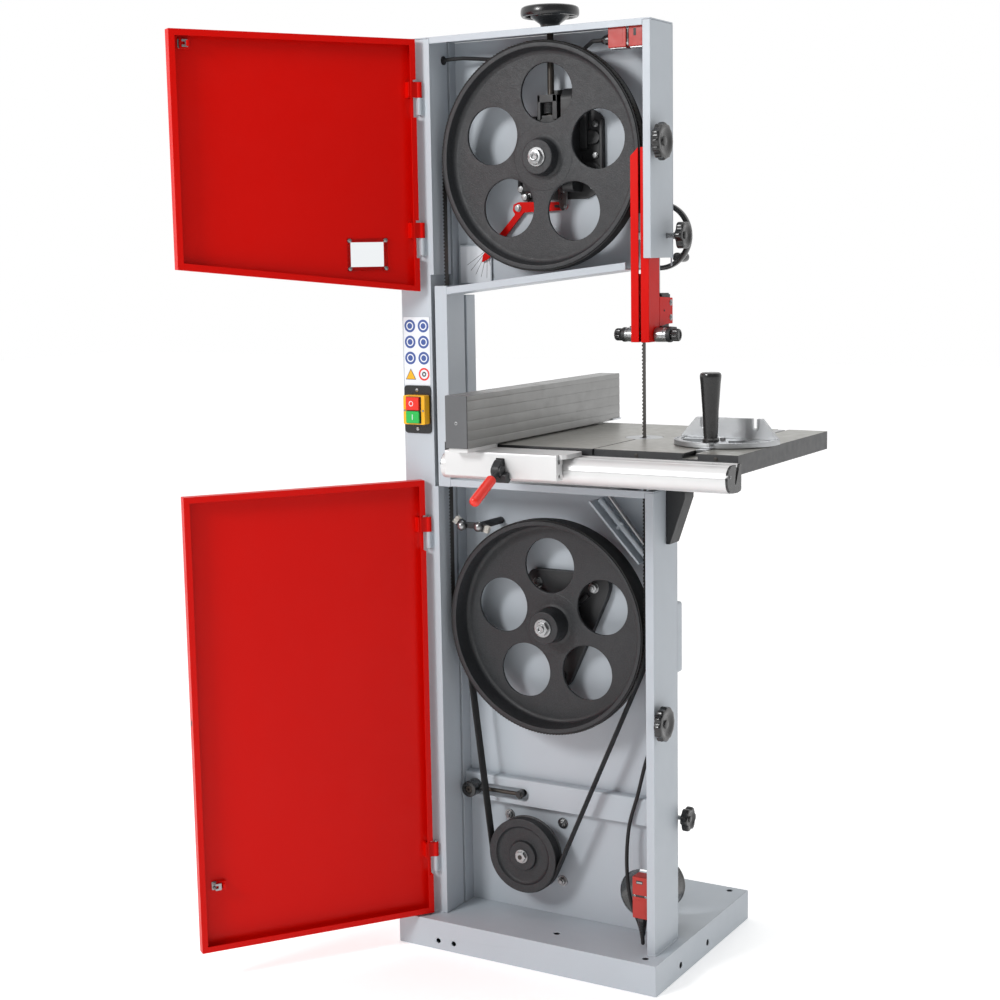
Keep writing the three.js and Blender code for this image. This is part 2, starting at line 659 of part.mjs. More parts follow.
// --------------------------------------------------------------------- table
function tableTop() {
  const { left, right, front, back, top, plate, rim, rimWall } = TABLE;
  const slab = block(left, right, front, back, top - rim, top);
  const under = block(
    left + rimWall, right - rimWall, front + rimWall, back - rimWall, top - rim - 1, top - plate);
  const seat = bar("z", top - INSERT.thickness - GAP, top + 1, TILT.x, INSERT.y, INSERT.radius + GAP, 40);
  const throat = bar("z", top - 20, top + 1, TILT.x, INSERT.y, INSERT.radius - 6, 40);
  const slit = block(TILT.x - 1.5, TILT.x + 1.5, front - 1, INSERT.y, top - 40, top + 1);
  const rib = block(SLOT.x - 21, SLOT.x + 21, front + 1, back - 1, top - 18, top - plate + 1);
  const channel = (wide, z1) => block(
    SLOT.x - wide / 2, SLOT.x + wide / 2, front - 1, back + 1, top - SLOT.depth, z1);
  const groove = channel(SLOT.width, top - 4);
  const mouth = channel(SLOT.neck, top + 1);
  return cut(join(cut(slab, under), rib), seat, throat, slit, groove, mouth);
}

function tableInsert() {
  const { top } = TABLE;
  const disc = bar("z", top - INSERT.thickness, top, TILT.x, INSERT.y, INSERT.radius, 40);
  const slot = block(TILT.x - 2.5, TILT.x + 6, INSERT.y - 16, INSERT.y + 12, top - 10, top + 5);
  return cut(disc, slot);
}

function frontRail() {
  const { left, right, top, foot, front, back } = RAIL;
  const round = 22;
  const outline = [
    [back, foot + 4], [back, top], [front + 16, top],
    ...arc(front + round, top - round, round, 106, 180, 5),
    ...arc(front + round, foot + round, round, 180, 262, 5),
    [back - 14, foot],
  ];
  const slot = plateYZ([[back - 20, top - 5], [back - 8, top - 5], [back - 8, top + 1], [back - 20, top + 1]],
    left - 1, right + 1);
  return cut(plateYZ(outline, left, right), slot);
}

// Half-round trunnion under the table, turning about the line where the blade
// meets the table's surface.
function tableTrunnion() {
  const { x, radius, front, back } = TILT;
  const z = TABLE.top;
  const flat = TABLE.plate + GAP;
  const drop = THREE.MathUtils.radToDeg(Math.asin(flat / radius));
  const inner = THREE.MathUtils.radToDeg(Math.asin(flat / 48));
  const outline = [
    ...arc(x, z, radius, 180 + drop, 360 - drop, 20),
    ...arc(x, z, 48, 360 - inner, 180 + inner, 14),
  ];
  return plateXZ(outline, front, back);
}

// Cradle on the cabinet's top for the trunnion, with its gusset outside the post.
function trunnionBracket() {
  const { x, radius, front, back } = TILT;
  const z = TABLE.top;
  const outline = [
    [165.6, LOWER.top + GAP], [254.6, LOWER.top + GAP], [254.6, 805], [262, 805], [291, 888], [291, 899],
    ...arc(x, z, radius + 0.6, 304, 220, 16), [165.6, 948.5],
  ];
  return plateXZ(outline, front + 2, back - 2);
}

// ------------------------------------------------------------- fence and mitre
function ripFence() {
  const { right, width, front, back, foot, height, wall } = FENCE;
  const left = right - width;
  const top = foot + height;
  const shell = block(left, right, front, back, foot, top);
  const hollow = block(left + wall, right - wall, front + wall, back + 1, foot + wall, top - wall);
  return cut(shell, hollow);
}

function fenceCarriage() {
  const topPlate = block(-14, 212, -423, -352, RAIL.top + GAP, 993);
  const apron = block(-14, 200, -423, -401, 950, 986);
  const foot = block(FENCE.right - 40, FENCE.right - 2, -450, -352, 992, FENCE.foot - GAP);
  return join(topPlate, apron, foot);
}

const LEVER = { x: 96, y: -433, z: 964 };

function fenceLever() {
  const { x, y, z } = LEVER;
  const tip = [x - 4, y - 76, z - 46];
  return join(
    bar("x", x - 9, x + 9, y, z, 9, 24),
    strut([x, y, z], [x - 1, y - 20, z - 12], 4, 12),
    strut([x - 1, y - 16, z - 9.6], tip, 9, 24));
}

function mitreBar() {
  const { x } = MITRE;
  const wide = SLOT.neck / 2 - GAP;
  const z0 = TABLE.top - SLOT.depth + GAP;
  const blade = block(x - wide, x + wide, -300, 45, z0, TABLE.top + 1);
  const foot = block(x - SLOT.width / 2 + 0.5, x + SLOT.width / 2 - 0.5, -20, 0, z0, TABLE.top - 4 - GAP);
  return join(blade, foot);
}

const HEAD_FOOT = TABLE.top + 1 + GAP;

function mitreHead() {
  const { x, y, radius, plate, faceWidth, faceTop } = MITRE;
  const half = [...arc(x, y, radius, 180, 360, 30)];
  const disc = plateXY([...half, [x + radius, y + 10], [x - radius, y + 10]], HEAD_FOOT, HEAD_FOOT + plate);
  const window = (from, to) => plateXY(
    [...arc(x, y, radius - 14, from, to, 10), ...arc(x, y, 32, to, from, 8)],
    HEAD_FOOT - 1, HEAD_FOOT + plate + 1);
  const face = block(x - faceWidth / 2, x + faceWidth / 2, y, y + 11, HEAD_FOOT, faceTop);
  const notch = (dx) => block(x + dx - 8, x + dx + 8, y - 1, y + 12, faceTop - 16, faceTop + 1);
  const notches = [-38, 38].map(notch);
  return cut(join(disc, cut(face, ...notches)), window(196, 246), window(294, 344));
}

function mitreHandle() {
  const { x } = MITRE;
  const y = -262;
  const z = HEAD_FOOT + MITRE.plate + GAP;
  const profile = [
    [0, z], [13, z], [13, z + 12], [14, z + 70], [18, z + 102], [18, z + 109], [13, z + 115], [0, z + 115],
  ];
  const points = profile.map(([r, h]) => new THREE.Vector2(r, h));
  return solid(new THREE.LatheGeometry(points, 28).rotateX(Math.PI / 2).translate(x, y, 0));
}

// ------------------------------------------------------------ electrics
function switchBox() {
  const { left, right, foot, top } = SWITCH;
  const y = CABINET.front - GAP;
  const plate = block(left, right, y - 3, y, foot, top);
  const label = block(left, right, y - 1, y, top, 1205);
  const box = block(-250, -203, y - 22, y - 2, 1007, 1061);
  const well = (z0, z1) => block(-241.5, -212.5, y - 23, y - 14, z0, z1);
  const wells = [well(1033.5, 1058.5), well(1009.5, 1032.5)];
  return cut(join(plate, label, box), ...wells);
}

function pushButton(z0, z1) {
  const y = CABINET.front - GAP;
  return block(-241, -213, y - 25, y - 18, z0 + 0.5, z1 - 0.5);
}

function interlockBody(x0, x1, y0, y1, z0, z1) {
  return cut(block(x0, x1, y0, y1, z0, z1), block(x0 + 6, x0 + 12, y0 - 1, y0 + 6, z1 - 14, z1 - 8));
}

function upperInterlock() {
  return join(
    interlockBody(168, 233, -164, -134, 1662, 1700),
    bar("x", 150, 168.5, -149, 1678, 9, 20));
}

function lowerInterlock() {
  return join(
    interlockBody(205, 236, -166, -138, 120, 199),
    bar("z", 84, 120.5, 219, -152, 8, 20, 12));
}

// A round cable through a list of points.
function cable(points, radius, steps) {
  const path = new THREE.CatmullRomCurve3(points.map((p) => new THREE.Vector3(...p)), false, "centripetal");
  const section = new THREE.Shape(arc(0, 0, radius, 0, 315, 7).map(([a, b]) => new THREE.Vector2(a, b)));
  return solid(new THREE.ExtrudeGeometry(section, { steps, bevelEnabled: false, extrudePath: path }));
}

const UPPER_CABLE = [
  [-188.4, -125, 1669], [-176, -125, 1670], [-150, -118, 1671], [-110, -105, 1668], [-60, -96, 1664],
  [-8, -94, 1660], [40, -95, 1662], [80, -102, 1668], [110, -125, 1675], [130, -147, 1678],
  [140, -149, 1678], [149.6, -149, 1678],
];

const LOWER_CABLE = [
  [243, -100, 470], [222, -100, 440], [204, -101, 399], [186.5, -103, 330], [170, -104, 272],
  [166, -108, 215], [170, -112, 162], [181, -118, 123], [199, -124, 91], [212, -138, 71],
  [218, -149, 68], [219, -152, 74], [219, -152, 83.6],
];

function brushBracket() {
  const y = -150;
  const arm = strut([-152, y, 817], [-112, y, 819], 6, 12);
  const stay = bar("y", y, LOWER.back - GAP, -111, 818.5, 7, 16);
  const balls = [[-149, 817], [-112, 817]].map(([x, z]) => bar("y", y - 15, y, x, z, 9, 16));
  const brushes = [
    strut([-150, y, 819], [-165.5, y, 830], 6, 8),
    strut([-112, y, 818], [-98, y, 808], 6, 8),
  ];
  return join(arm, stay, ...balls, ...brushes);
}

// Belt tensioning lever: a bush, a rod, and the pin that it turns on.
function beltLever() {
  const [y, z] = [-103, 295];
  return join(
    bar("x", -166, -62, y, z, 4, 16),
    bar("y", -124, -96.5, -166, z, 16, 32),
    bar("y", -110, -92, -62, z, 8, 24));
}

// ------------------------------------------------------------------ assembly
piece("base_plinth", basePlinth(), FRAME_GREY);
piece("spine_column", spineColumn(), FRAME_GREY);
piece("throat_cover", throatCover(), FRAME_GREY);
piece("lower_back_panel", lowerBackPanel(), FRAME_GREY);
piece("lower_right_post", lowerRightPost(), FRAME_GREY);
piece("lower_top_wall", lowerTopWall(), FRAME_GREY);
piece("crossbar", crossbar(), FRAME_GREY);
piece("rear_cover", rearCover(), FRAME_GREY);
piece("blade_deflector", bladeDeflector(), FRAME_GREY);
piece("upper_back_panel", upperBackPanel(), FRAME_GREY);
piece("upper_right_post", upperRightPost(), FRAME_GREY);
piece("upper_top_wall", upperTopWall(), FRAME_GREY);
piece("upper_belly_wall", upperBellyWall(), FRAME_GREY);

piece("upper_wheel", upperWheel(), CHARCOAL);
piece("lower_wheel", lowerWheel(), CHARCOAL);
piece("upper_tyre", tyreRing(WHEEL.upperZ), RUBBER);
piece("lower_tyre", tyreRing(WHEEL.lowerZ), RUBBER);
piece("lower_axle", lowerAxle(), STEEL);
piece("blade", bladeLoop(), STEEL);
piece("drive_belt", driveBelt(), RUBBER);
piece("motor_pulley", motorPulley(), CHARCOAL);
piece("motor", motor(), FRAME_GREY);
piece("dust_port", dustPort(), BLACK);

piece("tension_bracket", tensionBracket(), BLACK);
piece("wheel_carriage", wheelCarriage(), STEEL);
piece("tension_handwheel", tensionHandwheel(), BLACK);
piece("tension_pointer", tensionPointer(), DOOR_RED);

piece("blade_guard", bladeGuard(), DOOR_RED);
piece("guide_post", guidePost(), STEEL);
piece("guide_post_holder", guidePostHolder(), CHARCOAL);
piece("blade_guides", bladeGuides(), DOOR_RED);
piece("guide_handwheel", guideHandwheel(), BLACK);
piece("guide_lock_knob", flutedKnob(271, GUIDE_LOCK.y, GUIDE_LOCK.z, 25, 18, 246, 6), BLACK);
const { x: knobX, y: knobY, upperZ: knobHigh, lowerZ: knobLow } = DOOR_KNOB;
piece("upper_door_knob", flutedKnob(knobX, knobY, knobHigh, 32, 18, 246, 8), BLACK);
piece("lower_door_knob", flutedKnob(knobX, knobY, knobLow, 32, 18, 245, 8), BLACK);
piece("motor_lock_knob", flutedKnob(256, -58, 284, 23, 18, 232, 6), BLACK);

const upperHinge = hungDoor(UPPER_DOOR.openAngle);
piece("upper_door", upperDoor(), DOOR_RED, upperHinge);
piece("window_pane", windowPane(), CLEAR, upperHinge);
const lowerHinge = hungDoor(LOWER_DOOR.openAngle);
piece("lower_door", lowerDoor(), DOOR_RED, lowerHinge);

piece("table_top", tableTop(), IRON);
piece("table_insert", tableInsert(), ALUMINIUM);
piece("front_rail", frontRail(), ALUMINIUM);
piece("table_trunnion", tableTrunnion(), BLACK);
piece("trunnion_bracket", trunnionBracket(), BLACK);
piece("rip_fence", ripFence(), ALUMINIUM);
piece("fence_carriage", fenceCarriage(), ALUMINIUM);
piece("fence_lever", fenceLever(), DOOR_RED);
piece("mitre_bar", mitreBar(), STEEL);
piece("mitre_head", mitreHead(), ALUMINIUM);
piece("mitre_handle", mitreHandle(), BLACK);

piece("switch_box", switchBox(), YELLOW);
piece("stop_button", pushButton(1033.5, 1058.5), DOOR_RED);
piece("start_button", pushButton(1009.5, 1032.5), GREEN);
piece("upper_interlock", upperInterlock(), BRICK);
piece("lower_interlock", lowerInterlock(), BRICK);
piece("upper_cable", cable(UPPER_CABLE, 3.5, 28), RUBBER);
piece("lower_cable", cable(LOWER_CABLE, 3.5, 34), RUBBER);
piece("brush_bracket", brushBracket(), BLACK);
piece("belt_lever", beltLever(), BLACK);

export default saw;
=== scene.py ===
"""Looks of the band saw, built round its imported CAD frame. The builders take millimetres."""
import math
import random

import bmesh
import bpy
from mathutils import Matrix, Vector


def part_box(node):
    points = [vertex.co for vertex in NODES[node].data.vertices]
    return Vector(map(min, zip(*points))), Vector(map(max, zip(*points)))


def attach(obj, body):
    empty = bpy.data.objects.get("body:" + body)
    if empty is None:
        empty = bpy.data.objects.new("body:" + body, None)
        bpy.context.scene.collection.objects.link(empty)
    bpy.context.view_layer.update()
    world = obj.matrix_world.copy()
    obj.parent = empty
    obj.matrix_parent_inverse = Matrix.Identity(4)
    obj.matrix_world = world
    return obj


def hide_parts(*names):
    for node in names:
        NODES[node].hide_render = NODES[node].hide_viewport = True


MM = 0.001
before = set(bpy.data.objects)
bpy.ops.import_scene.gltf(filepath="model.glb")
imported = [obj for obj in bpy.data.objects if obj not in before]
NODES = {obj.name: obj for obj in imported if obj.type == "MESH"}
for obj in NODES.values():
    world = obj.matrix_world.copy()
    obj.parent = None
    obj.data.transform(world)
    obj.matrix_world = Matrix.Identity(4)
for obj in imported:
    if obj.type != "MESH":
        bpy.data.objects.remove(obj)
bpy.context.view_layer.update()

SCENE = bpy.context.scene
SCENE.view_settings.view_transform = "Standard"
SCENE.view_settings.look = "None"


# ------------------------------------------------------------------ materials
def linear(rgb):
    """An sRGB colour in 0 to 255 as linear RGBA."""
    def channel(value):
        value /= 255
        return value / 12.92 if value <= 0.04045 else ((value + 0.055) / 1.055) ** 2.4
    return (*[channel(v) for v in rgb], 1)


class Finish:
    """A node material under construction, with the few node patterns that the finishes share."""

    def __init__(self, name):
        self.material = bpy.data.materials.new(name)
        self.material.use_nodes = True
        self.tree = self.material.node_tree
        self.shader = self.tree.nodes["Principled BSDF"]

    def node(self, kind, **inputs):
        made = self.tree.nodes.new("ShaderNode" + kind)
        for key, value in inputs.items():
            self.feed(made.inputs[key.replace("_", " ")], value)
        return made

    def feed(self, socket, value):
        if isinstance(value, bpy.types.NodeSocket):
            self.tree.links.new(value, socket)
        else:
            socket.default_value = value

    def coords(self, stretch=(1, 1, 1)):
        source = self.tree.nodes.new("ShaderNodeTexCoord")
        return self.node("Mapping", Vector=source.outputs["Object"], Scale=stretch).outputs["Vector"]

    def noise(self, scale, detail=3, stretch=(1, 1, 1), rough=0.5):
        return self.node("TexNoise", Vector=self.coords(stretch), Scale=scale, Detail=detail,
                         Roughness=rough).outputs["Fac"]

    def remap(self, value, low, high, to_low, to_high):
        return self.node("MapRange", Value=value, From_Min=low, From_Max=high, To_Min=to_low,
                         To_Max=to_high).outputs["Result"]

    def mix(self, factor, first, second):
        made = self.tree.nodes.new("ShaderNodeMix")
        made.data_type = "RGBA"
        for index, value in ((0, factor), (6, first), (7, second)):
            self.feed(made.inputs[index], value)
        return made.outputs[2]

    def bump(self, height, strength, distance):
        relief = self.node("Bump", Height=height, Strength=strength, Distance=distance)
        self.feed(self.shader.inputs["Normal"], relief.outputs["Normal"])


def finish_of(name, rgb, rough=0.5, metal=0.0, spread=0.06, patch=9, grain=900, bump=0.1, depth=0.0002,
              stretch=(1, 1, 1), coat=0.0, speck=0.0, rough_spread=0.06, specular=0.5, second=None):
    """Broad colour drift, fine grain in colour and roughness, and relief at the grain's scale."""
    finish = Finish(name)
    base = linear(rgb)
    shade = lambda share: (*[min(1, c * share) for c in base[:3]], 1)
    colour = finish.mix(finish.remap(finish.noise(patch, 4), 0.3, 0.7, 0, 1), shade(1 - spread),
                        shade(1 + spread))
    fine = finish.noise(grain, 4, stretch, 0.6)
    if speck:
        colour = finish.mix(finish.remap(fine, 0.38, 0.6, 0, 1), shade(1 - speck), colour)
    if second:
        colour = second(finish, colour)
    finish.feed(finish.shader.inputs["Base Color"], colour)
    worn = finish.remap(finish.noise(patch * 7, 5), 0.3, 0.7, rough - rough_spread, rough + rough_spread)
    finish.feed(finish.shader.inputs["Roughness"], worn)
    finish.shader.inputs["Metallic"].default_value = metal
    finish.shader.inputs["Coat Weight"].default_value = coat
    finish.shader.inputs["Coat Roughness"].default_value = 0.1
    finish.shader.inputs["Specular IOR Level"].default_value = specular
    finish.bump(fine, bump, depth)
    return finish.material


def dark_sides(finish, colour):
    """Ground metal on faces that look up, dark paint on the rest, in the piece's own axes."""
    source = finish.tree.nodes.new("ShaderNodeTexCoord")
    split = finish.node("SeparateXYZ", Vector=source.outputs["Normal"])
    upward = finish.remap(split.outputs["Z"], 0.6, 0.8, 0, 1)
    finish.feed(finish.shader.inputs["Metallic"], finish.remap(upward, 0, 1, 0, 0.5))
    return finish.mix(upward, linear((44, 45, 47)), colour)


PAINT = finish_of("frame_paint", (181, 188, 195), 0.45, spread=0.02, grain=650, bump=0.12, depth=0.0002,
                  patch=5)
RED = finish_of("red_paint", (205, 8, 1), 0.34, spread=0.015, grain=900, bump=0.03, patch=3, specular=0.12)
WHEEL_IRON = finish_of("wheel_iron", (42, 44, 47), 0.5, spread=0.12, grain=420, bump=0.9, depth=0.0007,
                       speck=0.4, patch=14)
TABLE_IRON = finish_of("table_iron", (150, 149, 143), 0.36, 0.5, 0.06, 10, 420, 0.1, stretch=(0.05, 1, 1),
                       second=dark_sides)
BLACK_IRON = finish_of("black_iron", (36, 37, 39), 0.48, spread=0.1, grain=600, bump=0.4, speck=0.25)
DARK_STEEL = finish_of("dark_steel", (70, 66, 62), 0.4, 0.8, 0.15, 30, 700, 0.15)
STEEL = finish_of("steel", (158, 159, 160), 0.32, 1.0, 0.06, 20, 900, 0.06)
ALUMINIUM = finish_of("aluminium", (214, 214, 214), 0.46, 0.6, 0.02, 8, 700, 0.06, stretch=(0.02, 1, 1))
FENCE_METAL = finish_of("fence_aluminium", (148, 148, 147), 0.38, 0.9, 0.04, 6, 700, 0.04,
                        stretch=(1, 0.02, 1))
PLATE_METAL = finish_of("fence_plate", (98, 99, 101), 0.5, 0.4, 0.05, 12, 500, 0.1)
CAST_METAL = finish_of("cast_aluminium", (186, 188, 190), 0.42, 0.9, 0.05, 20, 420, 0.25)
BLACK_PLASTIC = finish_of("black_plastic", (20, 20, 21), 0.28, spread=0.06, grain=500, bump=0.04, coat=0.3)
YELLOW = finish_of("yellow_plastic", (240, 176, 16), 0.4, spread=0.03, grain=900, bump=0.1)
RED_PLASTIC = finish_of("red_plastic", (224, 36, 14), 0.33, spread=0.03, grain=900, bump=0.06, coat=0.15)
GREEN = finish_of("green_plastic", (30, 176, 74), 0.35, spread=0.03, grain=900, bump=0.06)
BRICK = finish_of("brick_plastic", (170, 36, 26), 0.42, spread=0.06, grain=900, bump=0.2)
RUBBER = finish_of("rubber", (27, 27, 28), 0.7, spread=0.1, grain=700, bump=0.3)
WHITE = finish_of("white_print", (226, 229, 234), 0.4, spread=0.01, grain=900, bump=0.02)
BLUE = finish_of("blue_print", (58, 84, 150), 0.4, spread=0.03, grain=900, bump=0.02)
BRISTLE = finish_of("bristle", (205, 203, 196), 0.6, spread=0.1, grain=900, bump=0.2)
FLOOR = finish_of("floor_white", (250, 250, 250), 0.8, spread=0.002, patch=2, grain=60, bump=0.01)
FLOOR_SHADER = FLOOR.node_tree.nodes["Principled BSDF"]
FLOOR_SHADER.inputs["Emission Color"].default_value = (1, 1, 1, 1)
FLOOR_SHADER.inputs["Emission Strength"].default_value = 0.35


def clear_pane():
    finish = Finish("clear_pane")
    finish.shader.inputs["Base Color"].default_value = linear((240, 243, 245))
    finish.shader.inputs["Transmission Weight"].default_value = 1.0
    finish.shader.inputs["IOR"].default_value = 1.12
    finish.feed(finish.shader.inputs["Roughness"], finish.remap(finish.noise(60), 0.3, 0.7, 0.0, 0.03))
    return finish.material


CLEAR = clear_pane()
FINISHES = {
    "frame_paint": PAINT, "red_paint": RED, "wheel_iron": WHEEL_IRON, "table_iron": TABLE_IRON,
    "black_iron": BLACK_IRON, "steel": STEEL, "aluminium": ALUMINIUM, "black_plastic": BLACK_PLASTIC,
    "yellow_plastic": YELLOW, "red_plastic": RED_PLASTIC, "green_plastic": GREEN, "brick_plastic": BRICK,
    "rubber": RUBBER, "clear": CLEAR,
}


# ------------------------------------------------------------------ mesh builders
def placed(axis, a, b, along):
    """A point whose place along an axis is given, with its other two coordinates in X, Y, Z order."""
    return Vector({"x": (along, a, b), "y": (a, along, b), "z": (a, b, along)}[axis])


def rounded(points, radius, steps=3, closed=True):
    """The outline with its corners rounded off."""
    count = len(points)
    made = []
    for i, corner in enumerate(points):
        here = Vector(corner)
        if not closed and i in (0, count - 1):
            made.append(here)
            continue
        before, after = Vector(points[i - 1]), Vector(points[(i + 1) % count])
        reach = min(radius, (before - here).length * 0.49, (after - here).length * 0.49)
        start = here + (before - here).normalized() * reach
        end = here + (after - here).normalized() * reach
        for k in range(steps + 1):
            t = k / steps
            made.append(start * (1 - t) ** 2 + here * 2 * t * (1 - t) + end * t ** 2)
    return made


def turned(x, z, angle, axis="Y", y=0):
    """A turn about an axis in radians, then a move."""
    return Matrix.Translation((x, y, z)) @ Matrix.Rotation(angle, 4, axis)


def arc(cx, cy, radius, start, end, steps):
    """Points of an arc, both ends included, in degrees."""
    return [(cx + radius * math.cos(math.radians(start + (end - start) * i / steps)),
             cy + radius * math.sin(math.radians(start + (end - start) * i / steps)))
            for i in range(steps + 1)]


def hexagon_within(limit):
    """A lathe wave that makes a hexagon of every ring up to a radius, for key sockets."""
    def wave(angle, radius, _):
        if radius > limit:
            return radius
        return radius * math.cos(math.tau / 12) / math.cos((angle % (math.tau / 6)) - math.tau / 12)
    return wave


def toothed(inner, depth, teeth):
    """A lathe wave that cuts teeth into every ring beyond a radius."""
    def wave(angle, radius, _):
        return radius if radius < inner else radius - depth * (1 + math.cos(teeth * angle))
    return wave


class Build:
    """Gathers closed shells, in millimetres, and makes one piece of them."""

    def __init__(self):
        self.bm = bmesh.new()
        self.materials = []

    def take(self, part, material, bevel=0.0, turn=None):
        """Adds a shell, its sharp edges rounded by bevel."""
        bmesh.ops.recalc_face_normals(part, faces=part.faces)
        if bevel:
            sharp = [e for e in part.edges
                     if len(e.link_faces) == 2 and e.calc_face_angle() > math.radians(32)]
            bmesh.ops.bevel(part, geom=sharp, offset=bevel, segments=2, profile=0.6, affect="EDGES",
                            clamp_overlap=True)
        if turn is not None:
            part.transform(turn)
        if material not in self.materials:
            self.materials.append(material)
        number = self.materials.index(material)
        copies = {v: self.bm.verts.new(v.co) for v in part.verts}
        for face in part.faces:
            made = self.bm.faces.new([copies[v] for v in face.verts])
            made.material_index = number
        part.free()

    def box(self, x0, x1, y0, y1, z0, z1, material, bevel=0.8, turn=None):
        part = bmesh.new()
        centre = Matrix.Translation(((x0 + x1) / 2, (y0 + y1) / 2, (z0 + z1) / 2))
        size = Matrix.Diagonal((x1 - x0, y1 - y0, z1 - z0, 1))
        bmesh.ops.create_cube(part, size=1, matrix=centre @ size)
        self.take(part, material, bevel, turn)

    def rings(self, rings, material, bevel=0.0, turn=None, closed=False):
        """A skin through rings of equal count: capped at both ends, or joined end to start."""
        part = bmesh.new()
        made = [[part.verts.new(p) for p in ring] for ring in rings]
        pairs = list(zip(made, made[1:])) + ([(made[-1], made[0])] if closed else [])
        for low, high in pairs:
            count = len(low)
            for i in range(count):
                j = (i + 1) % count
                part.faces.new((low[i], low[j], high[j], high[i]))
        if not closed:
            part.faces.new(made[0])
            part.faces.new(made[-1])
        self.take(part, material, bevel, turn)

    def prism(self, outline, axis, start, end, material, bevel=0.6, turn=None):
        """An outline given depth along an axis."""
        self.rings([[placed(axis, p[0], p[1], h) for p in outline] for h in (start, end)], material, bevel,
                   turn)

    def lathe(self, profile, axis, a, b, material, count=48, wave=None, turn=None):
        """A round shape from (radius, place along the axis) pairs. A profile that starts and ends on the axis
        is a solid; any other closes on itself as a ring. wave changes the radius with the angle."""
        solid = profile[0][0] == 0
        rows = profile[1:-1] if solid else profile
        part = bmesh.new()
        table = []
        for radius, along in rows:
            row = []
            for i in range(count):
                angle = math.tau * i / count
                reach = wave(angle, radius, along) if wave else radius
                row.append(part.verts.new(placed(axis, a + reach * math.cos(angle),
                                                 b + reach * math.sin(angle), along)))
            table.append(row)
        pairs = list(zip(table, table[1:])) + ([] if solid else [(table[-1], table[0])])
        for low, high in pairs:
            for i in range(count):
                j = (i + 1) % count
                part.faces.new((low[i], low[j], high[j], high[i]))
        if solid:
            for row, along in ((table[0], profile[0][1]), (table[-1], profile[-1][1])):
                tip = part.verts.new(placed(axis, a, b, along))
                for i in range(count):
                    part.faces.new((row[i], row[(i + 1) % count], tip))
        self.take(part, material, 0, turn)

    def rod(self, axis, start, end, a, b, radius, material, edge=0.5, count=32, turn=None):
        """A round bar with softened ends."""
        edge = min(edge, radius * 0.5, (end - start) * 0.4)
        profile = [(0, start), (radius - edge, start), (radius - edge * 0.3, start + edge * 0.3),
                   (radius, start + edge), (radius, end - edge), (radius - edge * 0.3, end - edge * 0.3),
                   (radius - edge, end), (0, end)]
        self.lathe(profile, axis, a, b, material, count, turn=turn)

    def tube(self, points, radius, material, count=14, closed=False):
        """A round bar along a list of points. radius may be one number or one for each point."""
        path = [Vector(p) for p in points]
        last = len(path)
        sizes = radius if isinstance(radius, list) else [radius] * last
        rings, side = [], None
        for i, here in enumerate(path):
            before = path[i - 1] if i or closed else here
            after = path[(i + 1) % last] if i < last - 1 or closed else here
            way = (after - before).normalized()
            if side is None:
                side = way.orthogonal().normalized()
            side = (side - way * side.dot(way)).normalized()
            other = way.cross(side)
            turns = [math.tau * k / count for k in range(count)]
            rings.append([here + (side * math.cos(t) + other * math.sin(t)) * sizes[i] for t in turns])
        self.rings(rings, material, closed=closed)

    def nut(self, axis, start, end, a, b, flats, material):
        """A hexagon whose outer corners are turned to a cone."""
        count, half = 48, flats / 2
        out = 1 if end > start else -1
        rows = [[], [], [], []]
        for i in range(count):
            angle = math.tau * i / count
            reach = half / math.cos((angle % (math.tau / 6)) - math.tau / 12)
            shoulder = end - out * (reach - half * 0.97) * 0.58
            stations = ((start, reach), (shoulder, reach), (end, half * 0.97), (end, half * 0.5))
            for row, (along, size) in zip(rows, stations):
                row.append(placed(axis, a + size * math.cos(angle), b + size * math.sin(angle), along))
        self.rings(rows, material)

    def socket_screw(self, axis, face, a, b, radius, out, material=None, turn=None, height=None):
        """A cap screw's head on a face, its hexagon socket open to the front. out is the way it stands."""
        material = material or STEEL
        tall = out * (height or radius * 0.9)
        top = face + tall
        deep = face + tall * 0.35
        key = radius * 0.52
        profile = [(0, face), (radius, face), (radius, top - tall * 0.15), (radius * 0.88, top),
                   (key * 1.12, top), (key, top - tall * 0.06), (key, deep), (0, deep)]
        self.lathe(profile, axis, a, b, material, 36, hexagon_within(key * 1.05), turn)

    def cross_screw(self, axis, face, a, b, radius, out, material=None, turn=None):
        """A domed screw head with a black cross set into it, painted shade standing in for the cross recess.
        """
        material = material or STEEL
        tall = out * radius * 0.45
        profile = [(0, face), (radius, face), (radius * 0.96, face + tall * 0.5),
                   (radius * 0.7, face + tall * 0.9), (radius * 0.3, face + tall), (0, face + tall)]
        self.lathe(profile, axis, a, b, material, 28, turn=turn)
        # The cross is painted shade: a black solid sunk into the dome, not a cut recess.
        top, bottom = sorted((face + tall * 1.02, face + tall * 0.7))[::-1]
        for wide, narrow in ((0.55, 0.11), (0.11, 0.55)):
            outline = [(a - radius * wide, b - radius * narrow), (a + radius * wide, b - radius * narrow),
                       (a + radius * wide, b + radius * narrow), (a - radius * wide, b + radius * narrow)]
            self.prism(outline, axis, bottom, top, BLACK_IRON, 0, turn)

    def done(self, name, body, slot=None, replaces=(), smooth=32):
        """Makes the piece in metres, on its body."""
        self.bm.transform(Matrix.Scale(MM, 4))
        mesh = bpy.data.meshes.new(name)
        self.bm.to_mesh(mesh)
        self.bm.free()
        for material in self.materials:
            mesh.materials.append(material)
        mesh.shade_smooth()
        mesh.set_sharp_from_angle(angle=math.radians(smooth))
        piece = bpy.data.objects.new(name, mesh)
        SCENE.collection.objects.link(piece)
        piece.modifiers.new("normals", "WEIGHTED_NORMAL").keep_sharp = True
        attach(piece, body)
        if replaces:
            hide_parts(*replaces)
        return piece


def box_of(node):
    """A node's low and high corners in millimetres."""
    low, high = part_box(node)
    return low / MM, high / MM


